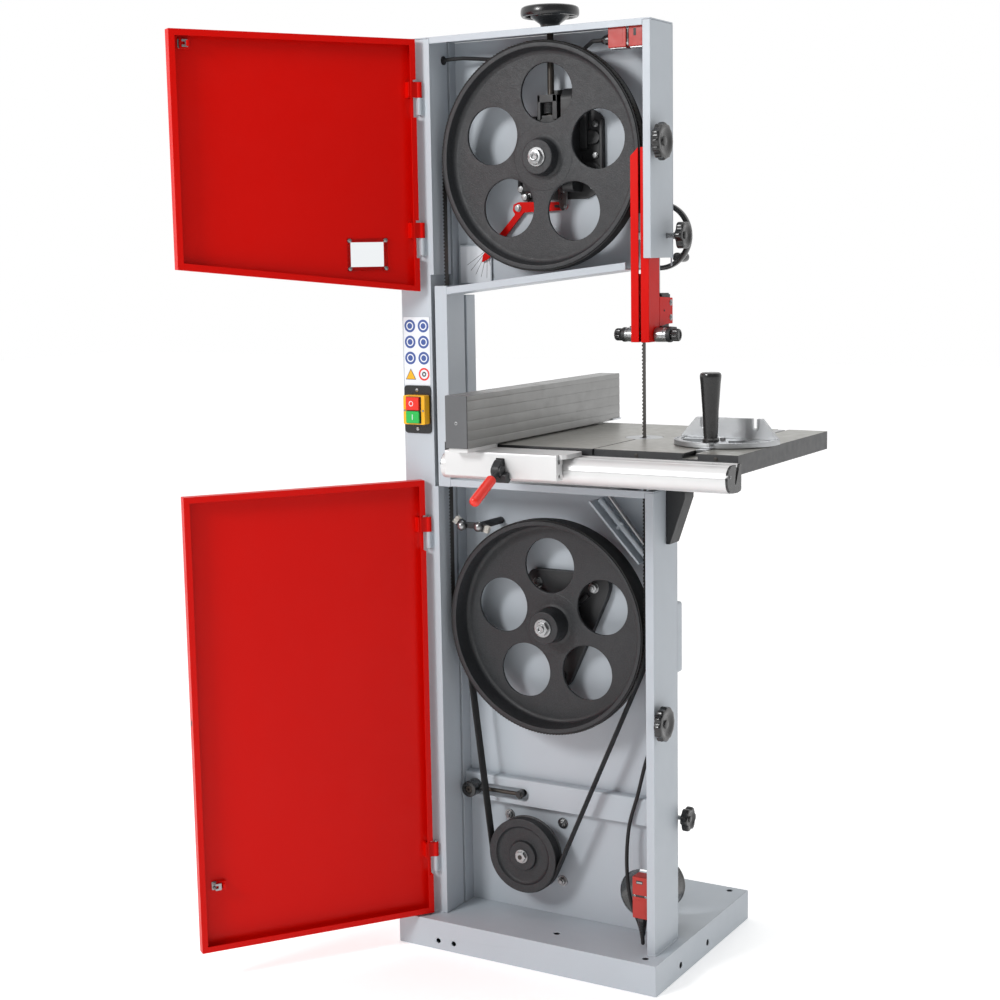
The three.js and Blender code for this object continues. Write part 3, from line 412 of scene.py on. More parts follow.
def drilled(piece, tools):
    """Cuts closed tool builds out of a piece and keeps the result as its mesh."""
    for tool in tools:
        tool.bm.transform(Matrix.Scale(MM, 4))
        mesh = bpy.data.meshes.new("tool")
        tool.bm.to_mesh(mesh)
        tool.bm.free()
        cutter = bpy.data.objects.new("tool", mesh)
        SCENE.collection.objects.link(cutter)
        modifier = piece.modifiers.new("cut", "BOOLEAN")
        modifier.operation = "DIFFERENCE"
        modifier.solver = "EXACT"
        modifier.object = cutter
        bpy.context.view_layer.update()
        graph = bpy.context.evaluated_depsgraph_get()
        result = bpy.data.meshes.new_from_object(piece.evaluated_get(graph))
        piece.modifiers.clear()
        piece.modifiers.new("normals", "WEIGHTED_NORMAL").keep_sharp = True
        piece.data = result
        bpy.data.objects.remove(cutter)
    piece.data.shade_smooth()
    piece.data.set_sharp_from_angle(angle=math.radians(32))


# ------------------------------------------------------------------ carried-over CAD nodes
def soften(node, width, material=None):
    """Gives a CAD node its finish and rounds its edges, by modifiers only."""
    piece = NODES[node]
    name = piece.material_slots[0].material.name.split(".")[0]
    piece.material_slots[0].material = material or FINISHES[name]
    if "custom_normal" in piece.data.attributes:
        piece.data.attributes.remove(piece.data.attributes["custom_normal"])
    piece.data.shade_smooth()
    if not width:
        return
    weld = piece.modifiers.new("weld", "WELD")
    weld.merge_threshold = 1e-5
    flat = piece.modifiers.new("flat", "DECIMATE")
    flat.decimate_type = "DISSOLVE"
    flat.angle_limit = math.radians(0.5)
    edge = piece.modifiers.new("edge", "BEVEL")
    edge.width = width * MM
    edge.segments = 2
    edge.limit_method = "ANGLE"
    edge.angle_limit = math.radians(35)
    edge.use_clamp_overlap = False
    edge.harden_normals = True


EDGE_WIDTHS = {
    "base_plinth": 1.6, "spine_column": 0.9, "throat_cover": 0.6, "lower_back_panel": 0.5,
    "lower_right_post": 0.9, "lower_top_wall": 0.8, "blade_deflector": 0.5, "upper_back_panel": 0.5,
    "upper_right_post": 0.9, "upper_top_wall": 0.8, "upper_belly_wall": 0.8, "upper_door": 0.5,
    "lower_door": 0.5, "blade_guard": 0.6, "table_top": 0.8, "table_trunnion": 1.0,
    "trunnion_bracket": 1.0, "guide_post_holder": 1.0, "mitre_bar": 0.5,
    "window_pane": 0.3,
}
for node in NODES:
    soften(node, EDGE_WIDTHS.get(node, 0))


# ------------------------------------------------------------------ wheels, blade and drive
WHEEL_X, UPPER_Z, LOWER_Z = 26.4, 1486.2, 639.6
RIM_FRONT, RIM_BACK, RIM = -162.1, -134.1, 197
MOTOR_X, MOTOR_Z = -41.0, 186.5
HUB_FACE = -165.1


def bored_web(piece, z, front, back, radius, reach, start):
    """Cuts the five round holes of a wheel's web, their edges rounded."""
    middle = (front + back) / 2
    half = (back - front) / 2
    tool = Build()
    for i in range(5):
        angle = math.radians(start) + math.tau * i / 5
        a, b = WHEEL_X + reach * math.cos(angle), z + reach * math.sin(angle)
        flare = ((half + 3, 2.2), (half + 0.01, 2.2), (half - 0.6, 1.0), (half - 2.0, 0))
        profile = [(0, middle - half - 3)]
        profile += [(radius + more, middle - h) for h, more in flare]
        profile += [(radius + more, middle + h) for h, more in reversed(flare)]
        profile += [(0, middle + half + 3)]
        tool.lathe(profile, "y", a, b, WHEEL_IRON, 72)
    drilled(piece, [tool])


def wheel(name, body, node, z, web, behind, holes):
    """A dished wheel: tapered boss, web, rim with a turned face, and holes in the web."""
    made = Build()
    made.lathe([
        (12, HUB_FACE), (28.6, HUB_FACE), (29.8, HUB_FACE + 0.4), (30.6, HUB_FACE + 1.6),
        (32.4, web - 5), (33.8, web - 2), (37, web - 0.4), (40, web), (57, web), (57.9, web + 0.25),
        (59, web + 0.7), (177, web + 0.7), (181.5, web), (184.6, web - 2.8), (185.6, web - 6.5),
        (188.9, RIM_FRONT + 1.4), (189.6, RIM_FRONT + 0.4), (190.8, RIM_FRONT), (195.6, RIM_FRONT),
        (196.6, RIM_FRONT + 0.4), (RIM, RIM_FRONT + 1.4), (RIM, RIM_BACK - 0.8), (196.4, RIM_BACK), *behind,
    ], "y", WHEEL_X, z, WHEEL_IRON, 160)
    piece = made.done(name, body, "wheel_iron", [node])
    bored_web(piece, z, web, web + 8, *holes)
    return piece


wheel("upper_wheel_casting", "upper_wheel", "upper_wheel", UPPER_Z, -142.1,
      [(150, RIM_BACK), (12, RIM_BACK)], (51.5, 112.5, 14.2))
wheel("lower_wheel_casting", "lower_wheel", "lower_wheel", LOWER_Z, -127.1,
      [(192, -133.7), (192, -113), (194.8, -112), (195, -110.8), (194, -110), (181, -110), (180, -111),
       (180, -119.1), (36, -119.1), (36, -109), (35, -108.1), (12, -108.1)], (51, 109.6, 21.4))

for name, body, z in (("upper_tyre", "upper_wheel", UPPER_Z), ("lower_tyre", "lower_wheel", LOWER_Z)):
    made = Build()
    made.lathe([
        (197.3, -160.3), (198.6, -161.0), (199.4, -160.9), (199.8, -160.2), (200.0, -157), (200.2, -148),
        (200.0, -139), (199.8, -136), (199.4, -135.2), (198.6, -135.1), (197.3, -136),
    ], "y", WHEEL_X, z, RUBBER, 160)
    made.done(name + "_rubber", body, "rubber", [name])


def loop(c1, r1, c2, r2, step):
    """Points and outward directions round a belt's or a blade's path, about step apart."""
    span = math.hypot(c2[0] - c1[0], c2[1] - c1[1])
    heading = math.atan2(c2[1] - c1[1], c2[0] - c1[0])
    lean = math.acos((r1 - r2) / span)
    found = []
    turns = ((c1, r1, heading + lean, math.tau - 2 * lean, c2, r2),
             (c2, r2, heading - lean, 2 * lean, c1, r1))
    for centre, radius, start, sweep, other, reach in turns:
        count = max(2, round(radius * sweep / step))
        for i in range(count + 1):
            out = (math.cos(start + sweep * i / count), math.sin(start + sweep * i / count))
            found.append((centre[0] + radius * out[0], centre[1] + radius * out[1], out))
        x0, z0, out = found[-1]
        x1, z1 = other[0] + reach * out[0], other[1] + reach * out[1]
        steps = round(math.hypot(x1 - x0, z1 - z0) / step)
        found += [(x0 + (x1 - x0) * i / steps, z0 + (z1 - z0) * i / steps, out) for i in range(1, steps)]
    return found


def swept(build, path, section, material):
    """Carries a cross-section of (outward, y) pairs round a loop. It may depend on the point's number."""
    rings = []
    for number, (x, z, out) in enumerate(path):
        shape = section(number) if callable(section) else section
        rings.append([(x + out[0] * r, y, z + out[1] * r) for r, y in shape])
    build.rings(rings, material, closed=True)


def blade_section(number):
    tooth = -160.0 if number % 2 else -155.2
    return [(0, -145), (0.8, -145), (0.8, -154.2), (0.8 if number % 2 else 0.7, tooth),
            (0 if number % 2 else 0.1, tooth), (0, -154.2)]


made = Build()
swept(made, loop((WHEEL_X, UPPER_Z), 200.4, (WHEEL_X, LOWER_Z), 200.4, 3.2), blade_section, DARK_STEEL)
made.done("saw_blade", "frame", "steel", ["blade"])

made = Build()
ribs = [(4, -132.4), (4, -114.7), (3.4, -114.1), (1.6, -114)]
for i in range(6):
    ribs += [(0.1, -114.8 - i * 3.1), (0.1, -115.7 - i * 3.1), (1.7, -116.9 - i * 3.1)]
ribs = ribs[:-1] + [(1.6, -133.1), (3.4, -133)]
swept(made, loop((WHEEL_X, LOWER_Z), 192.4, (MOTOR_X, MOTOR_Z), 69.5, 7), ribs, RUBBER)
made.done("ribbed_belt", "frame", "rubber", ["drive_belt"])

made = Build()
grooves = [(72, -135.2), (69.4, -134)]
for i in range(6):
    grooves += [(69.4, -133.4 + i * 3.3), (68.4, -131.9 + i * 3.3)]
made.lathe([
    (13.4, -138.1), (26.6, -138.1), (27.8, -137.3), (28.4, -133), (29.4, -131), (32, -130.1), (50, -130.1),
    (53, -130.8), (55.4, -133), (57.2, -136.4), (58.6, -137.1), (70.8, -137.1), (71.8, -136.4), *grooves,
    (69.4, -113.6), (72, -112.2), (72, -110.6), (71, -110), (58, -110), (54, -124.1), (13.4, -124.1),
], "y", MOTOR_X, MOTOR_Z, WHEEL_IRON, 96)
made.rod("y", -140.4, -114, MOTOR_X, MOTOR_Z, 13.4, STEEL, 0.6)
made.nut("y", -140.4, -146, MOTOR_X, MOTOR_Z, 19, STEEL)
made.prism(arc(MOTOR_X, MOTOR_Z, 4.5, 0, 345, 23), "y", -146.3, -145.8, DARK_STEEL, 0)
made.done("belt_pulley", "motor_pulley", "wheel_iron", ["motor_pulley"])


def axle_end(made, z):
    """Washer, nut and threaded end with its socket, in front of a wheel's boss."""
    made.lathe([(7, -165.4), (16.4, -165.4), (17, -165.9), (17, -167.2), (16.4, -167.8), (7, -167.9)],
               "y", WHEEL_X, z, STEEL, 48)
    made.nut("y", -167.8, -174.6, WHEEL_X, z, 23.6, STEEL)
    made.lathe([(0, -174), (7.4, -174), (7.4, -176.6), (6.6, -177.6), (4.6, -177.6), (4.3, -177.2),
                (4.1, -175), (0, -175)], "y", WHEEL_X, z, STEEL, 36, hexagon_within(4.5))


# ------------------------------------------------------------------ tension gear behind the upper wheel
SCREW_Y = -110
made = Build()
axle_end(made, UPPER_Z)
made.rod("y", -166.4, -118, WHEEL_X, UPPER_Z, 11.5, STEEL, 0.5)
made.lathe([(12, -132), (30, -132), (33, -129), (34, -118), (12, -118)], "y", WHEEL_X, UPPER_Z, BLACK_IRON,
           48)
made.prism(rounded([(4.6, 1444.4), (48.2, 1444.4), (48.2, 1546), (40, 1554), (12, 1554), (4.6, 1546)], 3),
           "y", -126, -92.2, BLACK_IRON, 1.2)
for x0, x1 in ((8, 14.4), (38.4, 47.8)):
    made.box(x0, x1, -128, -92.2, 1552, 1595.6, BLACK_IRON, 1.2)
made.box(8, 47.8, -124, -92.2, 1552, 1560, BLACK_IRON, 1.0)
made.box(8, 47.8, -128, -92.2, 1582, 1595.8, BLACK_IRON, 1.4)
made.box(34, 47.8, -116, -92.2, 1570, 1595, BLACK_IRON, 1.4)
made.prism(arc(WHEEL_X, SCREW_Y, 9, 0, 300, 5), "z", 1554.4, 1561.5, DARK_STEEL, 0.6)
coil = []
for i in range(7 * 20 + 1):
    angle = math.tau * i / 20
    coil.append((WHEEL_X + 10.4 * math.cos(angle), SCREW_Y - 3.6 + 10.4 * math.sin(angle),
                 1562.6 + 18 * i / 140))
made.tube(coil, 1.35, BLACK_IRON, 8)
made.done("axle_carriage", "upper_axle_carriage", "steel", ["wheel_carriage"])

made = Build()
outline = [(-52, 1425), (-38, 1413), (88, 1413), (110, 1424), (121, 1438), (121, 1552), (112, 1562),
           (78, 1580), (78, 1606), (8, 1606), (2, 1562), (-42, 1562), (-52, 1552)]
made.prism(rounded(outline, 7), "y", -88.8, -84.8, BLACK_IRON, 1.2)
for x0, x1, top in ((-24, -2, 1558), (55, 77, 1605.6)):
    outline = [(-128, 1434), (-122, 1425.4), (-88, 1425.4), (-88, top), (-116, top), (-128, top - 15)]
    made.prism(rounded(outline, 5), "x", x0, x1, BLACK_IRON, 1.6)
for x0, x1, z0, z1 in ((77, 92, 1500, 1580), (-38, -24, 1500, 1544)):
    made.box(x0, x1, -100, -88, z0, z1, BLACK_IRON, 2.5)
for z0, z1 in ((1452, 1478), (1506, 1534)):
    made.prism(rounded([(84, z0), (108, z0 + 3), (116, z0 + 13), (108, z1 - 3), (84, z1)], 5), "y", -94, -88,
               BLACK_IRON, 1.5)
made.box(114.6, 120.6, -97, -88, 1440, 1550, BLACK_IRON, 2)
made.box(-52, -46, -97, -88, 1430, 1550, BLACK_IRON, 2)
for x, z in ((104, 1543), (104, 1488), (-47, 1544), (-33, 1421), (98, 1435)):
    made.rod("y", -91.6, -88.4, x, z, 5.6, STEEL, 0.6)
    made.nut("y", -91.5, -94.6, x, z, 8.6, STEEL)
for x, z in ((-44, 1434), (-36, 1419)):
    made.rod("y", -98, -88.4, x, z, 7.6, BLACK_IRON, 0.8)
    made.nut("y", -98, -102.5, x, z, 10.4, STEEL)
    made.rod("y", -103.6, -102, x, z, 3.4, STEEL, 0.4)
made.done("tension_casting", "frame", "black_iron", ["tension_bracket"])

# The bell crank: pivot bolt, two straight arms, a slotted tail and a pointed tip.
made = Build()
made.prism(rounded([(-60, 1389), (-65, 1396), (-63, 1407), (-52, 1411), (44, 1409), (49, 1404), (49, 1399),
                    (44, 1394), (-42, 1392), (-119, 1309), (-133, 1303), (-130, 1317)], 2.2, 3), "y", -94,
           -91, RED, 0.5)
made.prism(rounded([(22, 1399), (43, 1398.6), (43, 1404), (22, 1404)], 2.6, 4), "y", -94.25, -93.9,
           BLACK_IRON, 0)
made.rod("y", -91.2, -85, -53, 1401, 5, STEEL)
made.rod("y", -95.2, -93.8, -53, 1400, 6.6, STEEL, 0.4)
made.nut("y", -95.1, -99.9, -53, 1400, 9.4, STEEL)
made.done("tension_crank", "tension_pointer", "red_paint", ["tension_pointer"])

# The link from the carriage to the crank's slot.
made = Build()
made.prism(rounded([(36, 1396), (44, 1392), (51, 1398), (52, 1436), (45, 1444), (33, 1440)], 5, 3), "y",
           -100.6, -97.2, STEEL, 0.5)
made.rod("y", -103.5, -96.5, 43, 1431, 6, STEEL, 0.8)
made.rod("y", -102, -95, 44, 1401, 4, STEEL, 0.6)
made.rod("y", -97.4, -92.2, 44, 1443, 4, BLACK_IRON, 0.6)
made.done("tension_link", "upper_axle_carriage")

# The scale plate: plain lines fanning out from the crank's pivot.
made = Build()
made.prism(rounded([(-183, 1265), (-117, 1265), (-117, 1333), (-183, 1333)], 2, 3), "y", -88.2, -87.2,
           WHITE, 0.2)
for i in range(6):
    angle = math.radians(212 + i * 14)
    x0, z0 = -124 + 8 * math.cos(angle), 1326 + 8 * math.sin(angle)
    x1, z1 = -124 + 52 * math.cos(angle), 1326 + 52 * math.sin(angle)
    nx, nz = -math.sin(angle) * 0.35, math.cos(angle) * 0.35
    made.prism([(x0 - nx, z0 - nz), (x1 - nx, z1 - nz), (x1 + nx, z1 + nz), (x0 + nx, z0 + nz)], "y",
               -88.35, -88.15, BLACK_IRON, 0)
for x0, x1, z0, z1 in ((-117.6, -115, 1263, 1338), (-185, -182.6, 1263, 1338), (-185, -115, 1333, 1336)):
    made.box(x0, x1, -89.2, -87.2, z0, z1, PAINT, 0.5)
made.done("tension_scale", "frame", "frame_paint")

# The lower axle and the three-cornered casting behind the lower wheel.
made = Build()
axle_end(made, LOWER_Z)
made.rod("y", -166.4, -88, WHEEL_X, LOWER_Z, 11.5, STEEL, 0.5)
made.lathe([(12, -105), (27, -105), (30, -102.4), (33, -94), (38, -91.4), (12, -91.4)], "y", WHEEL_X, LOWER_Z,
           BLACK_IRON, 48)
outline = [(-34, 734), (108, 734), (122, 726), (126, 712), (121, 692), (42, 523), (34, 514), (22, 511),
           (12, 514), (6, 523), (-40, 692), (-46, 712), (-43, 727)]
made.prism(rounded(outline, 9), "y", -92, -76.3, BLACK_IRON, 1.8)
for x, z in ((94, 708), (-24, 708), (22, 536)):
    made.rod("y", -93.4, -91.8, x, z, 10.5, STEEL, 0.5)
    made.nut("y", -93.4, -99.6, x, z, 15, STEEL)
    made.rod("y", -101.4, -99, x, z, 4.2, STEEL, 0.5)
for x0, z0, x1, z1 in ((WHEEL_X, LOWER_Z, 84, 694), (WHEEL_X, LOWER_Z, -22, 694),
                       (WHEEL_X, LOWER_Z, 22, 552)):
    length = math.hypot(x1 - x0, z1 - z0)
    turn = turned(x0, z0, -math.atan2(z1 - z0, x1 - x0))
    made.box(24, length, -98, -91, -4, 4, BLACK_IRON, 1.8, turn)
made.done("lower_axle_casting", "frame", "steel", ["lower_axle"])


# ------------------------------------------------------------------ knobs and handwheels
def fluted(lobes, depth, inner, power=1.0):
    """A radius that dips between lobes outside the inner radius."""
    def wave(angle, radius, _):
        dip = ((1 - math.cos(lobes * angle)) / 2) ** power
        return radius if radius <= inner else radius - depth * dip * (radius - inner) / inner
    return wave


def side_knob(name, node, x, y, z, radius, stud, lobes, cut, power, inner):
    """A moulded knob facing +X on a steel stud: neck, lobed rim, dished face with a raised centre."""
    made = Build()
    k, depth = radius / 32, 18
    made.lathe([(0, x), (15 * k, x), (16 * k, x + 0.5), (16.6 * k, x + 3), (20 * k, x + 4.2),
                (29 * k, x + 4.4), (31.2 * k, x + 5.2), (32 * k, x + 7), (32 * k, x + depth - 4.5),
                (31.4 * k, x + depth - 2.4), (30 * k, x + depth - 0.8), (27.5 * k, x + depth - 0.1),
                (24.5 * k, x + depth), (21 * k, x + depth - 0.6), (17 * k, x + depth - 2.4),
                (12 * k, x + depth - 3.2), (8.4 * k, x + depth - 3.3), (7.6 * k, x + depth - 1.8),
                (6 * k, x + depth - 1.2), (0, x + depth - 1.1)],
               "x", y, z, BLACK_PLASTIC, (24 if lobes < 8 else 14) * lobes,
               fluted(lobes, cut, inner * k, power))
    made.rod("x", stud, x + 2, y, z, 4, STEEL, 0.6, 24)
    for i in range(int((x - 1 - stud) / 1.6)):
        made.lathe([(3.6, stud + 0.8 + i * 1.6), (4.05, stud + 1.3 + i * 1.6), (3.6, stud + 1.8 + i * 1.6)],
                   "x", y, z, STEEL, 24)
    made.done(name, node, "black_plastic", [node])


for level, z, stud in (("upper", 1502.4, 246), ("lower", 488.5, 245)):
    side_knob(f"{level}_door_knob_moulding", f"{level}_door_knob", 256.5, -160, z, 32, stud, 12, 19, 0.8, 28)
side_knob("guide_lock_moulding", "guide_lock_knob", 271, -108, 1345, 25, 246, 6, 14, 1.4, 23)
side_knob("motor_lock_moulding", "motor_lock_knob", 256, -58, 284, 23, 232, 6, 14, 1.4, 23)

# The blade tension handwheel on top of the upper box.
made = Build()
made.lathe([(43, 1736), (44, 1732), (46.5, 1730.3), (49.5, 1730.6), (51.4, 1733), (52, 1737), (51.8, 1742),
            (50.4, 1746), (47.4, 1747.9), (44.6, 1747.6), (43.2, 1744)], "z", WHEEL_X, SCREW_Y,
           BLACK_PLASTIC, 120)
made.lathe([(0, 1707.2), (16.4, 1707.2), (17, 1708), (17, 1716), (18.5, 1719), (27, 1725), (34, 1730),
            (35, 1733), (34, 1736.5), (22, 1741), (12, 1743), (10, 1742), (9, 1739.5), (0, 1739)],
           "z", WHEEL_X, SCREW_Y, BLACK_PLASTIC, 72)
for i in range(3):
    turn = turned(WHEEL_X, 0, math.radians(32 + 120 * i), "Z", SCREW_Y)
    made.box(30, 46, -5.5, 5.5, 1731, 1738, BLACK_PLASTIC, 2, turn)
made.rod("z", 1552, 1712, WHEEL_X, SCREW_Y, 6, DARK_STEEL, 0.8, 28)
for i in range(34):
    z = 1606 + i * 2.8
    made.lathe([(5.6, z), (6.3, z + 1), (5.6, z + 2)], "z", WHEEL_X, SCREW_Y, DARK_STEEL, 28)
made.nut("z", 1739, 1744.5, WHEEL_X, SCREW_Y, 15, STEEL)
made.done("tension_handwheel_moulding", "tension_handwheel", "black_plastic", ["tension_handwheel"])

# The handwheel of the blade guide, behind the upper box, with the pinion on its shaft.
GUIDE_X, GUIDE_Z = 202.4, 1345
made = Build()
made.lathe([(52, -34), (52.6, -36), (55, -37), (58, -37), (60.4, -35.6), (61, -33), (61, -29), (60.4, -26.4),
            (58, -25), (55, -25), (52.6, -26), (52, -28)], "y", GUIDE_X, GUIDE_Z, BLACK_PLASTIC, 120)
made.lathe([(0, -81.6), (14, -81.6), (15, -80.6), (15, -45), (17, -40), (16.4, -26), (14, -23.2), (9, -23),
            (8, -24.5), (0, -24.6)], "y", GUIDE_X, GUIDE_Z, BLACK_PLASTIC, 48)
for i in range(3):
    angle = math.radians(120 * i)
    ends = [(GUIDE_X + r * math.cos(angle), y, GUIDE_Z - r * math.sin(angle))
            for r, y in ((8, -33), (20, -32.4), (38, -31.4), (54, -31))]
    made.tube(ends, [7.5, 6.4, 5.4, 5.8], BLACK_PLASTIC, 18)
made.lathe([(0, -29), (5, -29), (5.4, -26), (7, -22), (8.6, -12), (9, -3), (8.4, 2), (6, 3.8), (0, 4)], "y",
           GUIDE_X + 33, GUIDE_Z - 38, BLACK_PLASTIC, 36)
made.rod("y", -34, -26, GUIDE_X + 33, GUIDE_Z - 38, 8.5, BLACK_PLASTIC, 1.5)
made.rod("y", -101, -60, GUIDE_X, GUIDE_Z, 6, STEEL, 0.5)
made.lathe([(0, -116), (7.4, -116), (8.2, -115.2), (8.2, -100.8), (7.4, -100), (0, -100)], "y", GUIDE_X,
           GUIDE_Z, STEEL, 96, toothed(7, 1.1, 12))
made.done("guide_handwheel_moulding", "guide_handwheel", "black_plastic", ["guide_handwheel"])

# ------------------------------------------------------------------ blade guide
made = Build()
made.prism(rounded([(214, -118), (234, -118), (234, -98), (214, -98)], 2, 2), "z", 1246, 1588, STEEL, 0.5)
for i in range(24):
    z = 1258 + i * 13.5
    made.prism([(211, z + 1.6), (211, z + 4.9), (214.6, z + 7.4), (214.6, z - 0.9)], "y", -112, -104, STEEL,
               0.3)
made.done("guide_post_rack", "guide", "steel", ["guide_post"])

# Red side plate, clamp block and the two pairs of guides.
made = Build()
plate = [(-124.9, 1190), (-119, 1189.4), (-104, 1190.6), (-98, 1192), (-73, 1192), (-72.4, 1192.6),
         (-72.4, 1236.4), (-73, 1237), (-124.9, 1240)]
made.prism([(y, z) for y, z in rounded(plate, 1.5, 2)], "x", 242.6, 245.2, RED, 0.4)
made.prism(rounded([(-124.9, 1165), (-98.6, 1165), (-98.6, 1187), (-124.9, 1189)], 2, 2), "x", 186, 266,
           BLACK_IRON, 1)
made.box(220, 240, -107, -76, 1186, 1245.6, BLACK_IRON, 1.2)
made.box(228, 242.4, -110, -76, 1196, 1243.6, BLACK_IRON, 1.2)
for z in (1228.7, 1202.9):
    made.lathe([(0, 242), (5.6, 242), (5.6, 245.6), (5.2, 246), (0, 246)], "x", -79.5, z, STEEL, 32)
    made.socket_screw("x", 245.4, -79.5, z, 3.9, 1, height=1.4)
made.lathe([(0, 244), (1.9, 244), (1.9, 245.6), (1.2, 246.2), (0, 246.3)], "x", -106.7, 1215.7, BLACK_IRON,
           20)
for x0, x1, way in ((210, 168, -1), (245.6, 290, 1)):
    def at(part):
        return x0 + (x1 - x0) * part
    profile = [(0, 0), (11.5, 0), (12.5, 0.02), (12.5, 0.36), (11.6, 0.38), (11.6, 0.4), (12.3, 0.41),
               (12.3, 0.5), (11.8, 0.52), (0, 0.52)]
    made.lathe([(r, at(s)) for r, s in profile], "x", -140, 1175, STEEL, 56)
    made.lathe([(0, at(0.5)), (12.4, at(0.5)), (12.8, at(0.53)), (12.8, at(0.63)), (12, at(0.67)),
                (0, at(0.67))], "x", -140, 1175, BLACK_IRON, 56)
    made.lathe([(0, at(0.64)), (8.4, at(0.64)), (8.4, at(0.71)), (10.3, at(0.73)), (10.8, at(0.76)),
                (10.8, at(0.95)), (10, at(0.99)), (8.6, at(1)), (6.4, at(1)), (6, at(0.97)), (0, at(0.97))],
               "x", -140, 1175, BLACK_PLASTIC, 108, toothed(9, 0.45, 18))
for x0, x1 in ((190, 209.6), (245.8, 262)):
    made.prism(rounded([(-138, 1166), (-104, 1166), (-104, 1182), (-138, 1184)], 4, 3), "x", x0 + 3, x1 - 3,
               BLACK_IRON, 0.8)
# Support rollers either side of the blade, inside the guard's foot.
for x in (219.5, 232.5):
    made.lathe([(2, -150), (5.6, -150), (6.2, -149.4), (6.2, -141), (5.6, -140.4), (2, -140.4)], "y", x,
               1176, STEEL, 36)
made.done("guide_clamps", "guide", "red_paint", ["blade_guides"])


# ------------------------------------------------------------------ table, rail, fence and mitre gauge
TOP = 997
BLADE_X = 226.6
made = Build()
made.lathe([(0, TOP - 3), (32.4, TOP - 3), (33, TOP - 2.4), (33, TOP - 0.5), (32.5, TOP), (27, TOP),
            (26.6, TOP - 0.25), (26.0, TOP - 0.25), (25.6, TOP), (0, TOP)], "z", BLADE_X, -150, CAST_METAL,
           96)
for x, y in ((BLADE_X - 20, -150), (BLADE_X + 20, -150)):
    made.lathe([(0, TOP - 1), (3.4, TOP - 1), (3.4, TOP + 0.02), (2.8, TOP + 0.1), (0, TOP + 0.1)], "z", x, y,
               DARK_STEEL, 24)
piece = made.done("table_insert_disc", "table", "aluminium", ["table_insert"])
tool = Build()
tool.box(224.1, 232.6, -166, -138, TOP - 8, TOP + 5, CAST_METAL, 0)
drilled(piece, [tool])

made = Build()
# Two screws in the table's front edge. The black disc on each end stands in for its socket, painted shade.
for x in (305.6, 446):
    made.rod("y", -345.1, -340, x, 989, 3.4, DARK_STEEL, 0.8)
    made.rod("y", -345.4, -344.8, x, 989, 1.6, BLACK_IRON, 0.1)
for x, z in ((470, 991), (470, 979)):
    made.rod("y", 60, 68, x, z, 2.6, STEEL, 0.6)
made.rod("y", 58, 66, 300, 989, 5, BLACK_IRON, 0.8)
made.prism([(BLADE_X - 6, -344.4), (BLADE_X + 6, -344.4), (BLADE_X + 6, -330), (BLADE_X - 6, -330)], "z",
           966, 986, BLACK_IRON, 1)
made.done("table_fittings", "table")


# The rail: a drawn section with a thin step along its face and a channel near the table.
face = arc(-378, 963, 22, 106, 170, 8) + [(-400.0, 966.6), (-399.1, 966.2), (-399.1, 965.4), (-400, 965)]
face += arc(-378, 962, 22, 184, 262, 10)
section = [(-344.5, 944), (-344.5, 984.6), (-345, 985), (-351.6, 985), (-352.4, 984.2), (-352.4, 980.4),
           (-364.4, 980.4), (-364.4, 984.2), (-365.2, 985), (-383.4, 985)]
section += face + [(-358.6, 940.2), (-347, 942)]
made = Build()
made.prism(section, "x", -38, 486, ALUMINIUM, 0)
cap = ([(-345, 943.6), (-344.4, 945), (-344.4, 984.6), (-345, 985), (-350.6, 985), (-352, 983), (-366.6, 954),
        (-369.6, 955), (-366, 984.4), (-367, 985), (-383.6, 985)] + arc(-378, 963, 22, 106, 262, 22)
       + [(-358.6, 940), (-347, 942)])
made.prism(cap, "x", 486, 490, BLACK_PLASTIC, 0.35)
made.prism(cap, "x", -38, -37, BLACK_PLASTIC, 0)
made.socket_screw("x", 489.8, -389, 968, 2.6, 1, height=1)
made.done("guide_rail", "table", "aluminium", ["front_rail"])

# The fence: a hollow drawn section, grooved along its faces, closed in front by a cast plate.
FENCE_LEFT, FENCE_RIGHT = 8.5, 50.5
outline = [(FENCE_LEFT + 0.6, 1000), (FENCE_RIGHT - 0.6, 1000), (FENCE_RIGHT, 1000.6)]
for z in (1013, 1029, 1046, 1063, 1079):
    outline += [(FENCE_RIGHT, z - 0.6), (FENCE_RIGHT - 0.6, z - 0.2), (FENCE_RIGHT - 0.6, z + 0.2),
                (FENCE_RIGHT, z + 0.6)]
outline += [(FENCE_RIGHT, 1087.2), (FENCE_RIGHT - 0.8, 1088), (FENCE_RIGHT - 10, 1088),
            (FENCE_RIGHT - 10.4, 1087.5), (FENCE_RIGHT - 11, 1087.5), (FENCE_RIGHT - 11.4, 1088),
            (FENCE_LEFT + 11.4, 1088), (FENCE_LEFT + 11, 1087.5), (FENCE_LEFT + 10.4, 1087.5),
            (FENCE_LEFT + 10, 1088), (FENCE_LEFT + 0.8, 1088), (FENCE_LEFT, 1087.2)]
for z in (1079, 1063, 1046, 1029, 1013):
    outline += [(FENCE_LEFT, z + 0.6), (FENCE_LEFT + 0.6, z + 0.2), (FENCE_LEFT + 0.6, z - 0.2),
                (FENCE_LEFT, z - 0.6)]
outline += [(FENCE_LEFT, 1000.6)]
made = Build()
made.prism(outline, "y", -452.4, 105, FENCE_METAL, 0)
fence = made.done("fence_profile", "fence", "aluminium", ["rip_fence"], smooth=20)
tools = []
for x0, x1, z0, z1 in ((FENCE_LEFT + 3, FENCE_RIGHT - 3, 1003, 1036),
                       (FENCE_LEFT + 3, FENCE_RIGHT - 3, 1039, 1085)):
    tool = Build()
    tool.box(x0, x1, -449, 120, z0, z1, FENCE_METAL, 1.5)
    tools.append(tool)
drilled(fence, tools)
made = Build()
